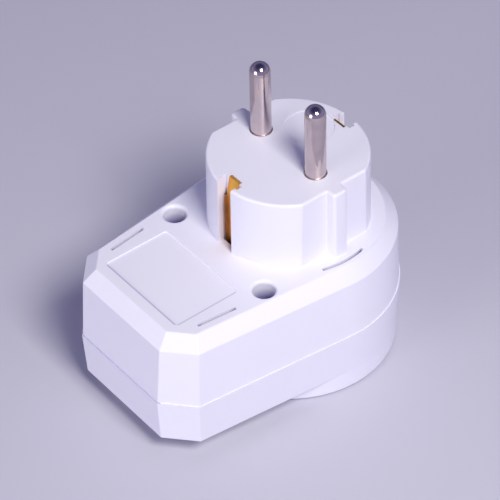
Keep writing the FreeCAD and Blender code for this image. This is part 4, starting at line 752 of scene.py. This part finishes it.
class ADAPTER_OT_spring(bpy.types.Operator):
    """Plunger spring with closed ends, in the rocker's stem"""
    bl_idname = "adapter.spring"
    bl_label = "Plunger spring"
    bl_options = {"REGISTER", "UNDO"}

    def execute(self, context):
        scene = context.scene
        finish, winding = scene.adapter_finish, scene.adapter_winding
        wire = rolled_metal("wire", tinted(finish.steel, 1.1), finish.drawing,
                            tarnish=0.15, rough=0.22)
        tilt = Matrix.Rotation(ROCKER_TILT, 4, "X")
        pivot = Vector(next(joint["pos_m"] for joint in frame["joints"]
                            if joint["name"] == "rocker_hinge"))
        foot = SPRING_FOOT + winding.wire / 2
        height = SPRING_HEAD - winding.wire / 2 - foot
        place = Matrix.Translation(pivot) @ tilt @ Matrix.Translation((0, 0, foot))
        spring = grow("plunger_spring_wound", spring_recipe(wire), {
            "Radius": SPRING_RADIUS, "Height": height,
            "Turns": winding.turns + winding.closed_turns, "Wire": winding.wire}, wire, place)
        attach(spring, "rocker_set")
        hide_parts("plunger_spring")
        return {"FINISHED"}


# Stage

def stage_floor(colour):
    """Pale floor that rises into a backdrop with a wide curve."""
    material, tree, shader = new_material("floor")
    clouds = noise(tree, FLOOR_CLOUDS, object_points(tree))
    tree.links.new(tint_range(tree, clouds, colour, FLOOR_TINTS), shader.inputs["Base Color"])
    shader.inputs["Roughness"].default_value = FLOOR_ROUGHNESS
    mesh = bpy.data.meshes.new("floor")
    flat = FLOOR_DEPTH - BACKDROP_BEND
    profile = [(-FLOOR_HALF, 0.0), (flat, 0.0)]
    for step in range(1, BEND_STEPS + 1):
        angle = math.pi / 2 * step / BEND_STEPS
        profile.append((flat + BACKDROP_BEND * math.sin(angle),
                        BACKDROP_BEND - BACKDROP_BEND * math.cos(angle)))
    profile.append((FLOOR_DEPTH, BACKDROP_HEIGHT))
    shape = bmesh.new()
    rows = []
    for along, up in profile:
        rows.append([shape.verts.new((side, along, up)) for side in (-FLOOR_HALF, FLOOR_HALF)])
    for (left, right), (next_left, next_right) in zip(rows, rows[1:]):
        shape.faces.new((left, right, next_right, next_left))
    turn = Matrix.Rotation(math.radians(BACKDROP_TURN), 4, "Z")
    bmesh.ops.transform(shape, matrix=turn, verts=shape.verts)
    shape.to_mesh(mesh)
    shape.free()
    mesh.shade_smooth()
    mesh.materials.append(material)
    floor = bpy.data.objects.new("floor", mesh)
    bpy.context.scene.collection.objects.link(floor)


def surroundings(horizon, zenith):
    """World that is pale near the floor and dark overhead."""
    world = bpy.data.worlds.new("studio")
    world.use_nodes = True
    tree = world.node_tree
    way = wire_up(tree, "ShaderNodeTexCoord")
    axes = wire_up(tree, "ShaderNodeSeparateXYZ", {"Vector": way.outputs["Generated"]})
    low, high = (math.sin(math.radians(angle)) for angle in (HORIZON_UP_TO, ZENITH_FROM))
    height = spread(tree, axes.outputs["Z"], 0, 1, low, high)
    shade = blend_colours(tree, height, horizon, zenith)
    tree.links.new(shade, tree.nodes["Background"].inputs["Color"])
    return world


def from_direction(azimuth, elevation):
    """Unit vector towards a point seen at that azimuth and elevation, both in radians."""
    return Vector((math.sin(azimuth) * math.cos(elevation),
                   -math.cos(azimuth) * math.cos(elevation), math.sin(elevation)))


def soft_light(name, power, target, azimuth, elevation, distance, size, colour):
    """Square area light that shines at the target."""
    lamp = bpy.data.lights.new(name, "AREA")
    lamp.shape = "SQUARE"
    lamp.size = size
    lamp.energy = power
    lamp.color = colour
    back = from_direction(math.radians(azimuth), math.radians(elevation))
    holder = bpy.data.objects.new(name, lamp)
    holder.location = Vector(target) + back * distance
    holder.rotation_euler = back.to_track_quat("Z", "Y").to_euler()
    bpy.context.scene.collection.objects.link(holder)


def aim_camera(stage):
    """Camera at the viewing angle of the photograph."""
    back = from_direction(stage.azimuth, stage.elevation)
    forward = -back
    right = forward.cross(Vector((0, 0, 1))).normalized()
    up = right.cross(forward)
    turned_right = right * math.cos(stage.roll) + up * math.sin(stage.roll)
    turned_up = up * math.cos(stage.roll) - right * math.sin(stage.roll)
    data = bpy.data.cameras.new("camera")
    data.sensor_width = SENSOR
    data.lens = stage.lens
    data.clip_start, data.clip_end = CLIPPING
    camera = bpy.data.objects.new("camera", data)
    turn = Matrix((turned_right, turned_up, back)).transposed().to_4x4()
    camera.matrix_world = Matrix.Translation(Vector(stage.target) + back * stage.distance) @ turn
    bpy.context.scene.collection.objects.link(camera)
    bpy.context.scene.camera = camera


class ADAPTER_OT_stage(bpy.types.Operator):
    """Pale floor, soft lights and the camera"""
    bl_idname = "adapter.stage"
    bl_label = "Stage"
    bl_options = {"REGISTER", "UNDO"}

    def execute(self, context):
        scene = context.scene
        stage = scene.adapter_stage
        stage_floor(stage.floor)
        middle = tuple(stage.target)
        for name, light in LIGHTS.items():
            soft_light(name, getattr(stage, name), middle, **light)
        scene.world = surroundings(stage.horizon, stage.zenith)
        scene.view_settings.view_transform = "Standard"
        aim_camera(stage)
        return {"FINISHED"}


OPERATORS = (
    ADAPTER_OT_stage,
    ADAPTER_OT_covers,
    ADAPTER_OT_switch,
    ADAPTER_OT_pins,
    ADAPTER_OT_strips,
    ADAPTER_OT_wiring,
    ADAPTER_OT_screws,
    ADAPTER_OT_spring,
)


class ADAPTER_PT_panel(bpy.types.Panel):
    """Sidebar panel with the settings and the operators"""
    bl_idname = "ADAPTER_PT_panel"
    bl_label = "Switched plug adapter"
    bl_space_type = "VIEW_3D"
    bl_region_type = "UI"
    bl_category = "Adapter"

    def draw(self, context):
        for name, group in GROUPS.items():
            box = self.layout.box()
            settings = getattr(context.scene, name)
            for label in group.__annotations__:
                box.prop(settings, label)
        for operator in OPERATORS:
            self.layout.operator(operator.bl_idname)


def register():
    for name, group in GROUPS.items():
        bpy.utils.register_class(group)
        setattr(bpy.types.Scene, name, bpy.props.PointerProperty(type=group))
    for operator in OPERATORS:
        bpy.utils.register_class(operator)
    bpy.utils.register_class(ADAPTER_PT_panel)


def unregister():
    bpy.utils.unregister_class(ADAPTER_PT_panel)
    for operator in reversed(OPERATORS):
        bpy.utils.unregister_class(operator)
    for name, group in GROUPS.items():
        delattr(bpy.types.Scene, name)
        bpy.utils.unregister_class(group)


def main():
    register()
    for operator in OPERATORS:
        family, name = operator.bl_idname.split(".")
        getattr(getattr(bpy.ops, family), name)()


if __name__ == "__main__":
    main()
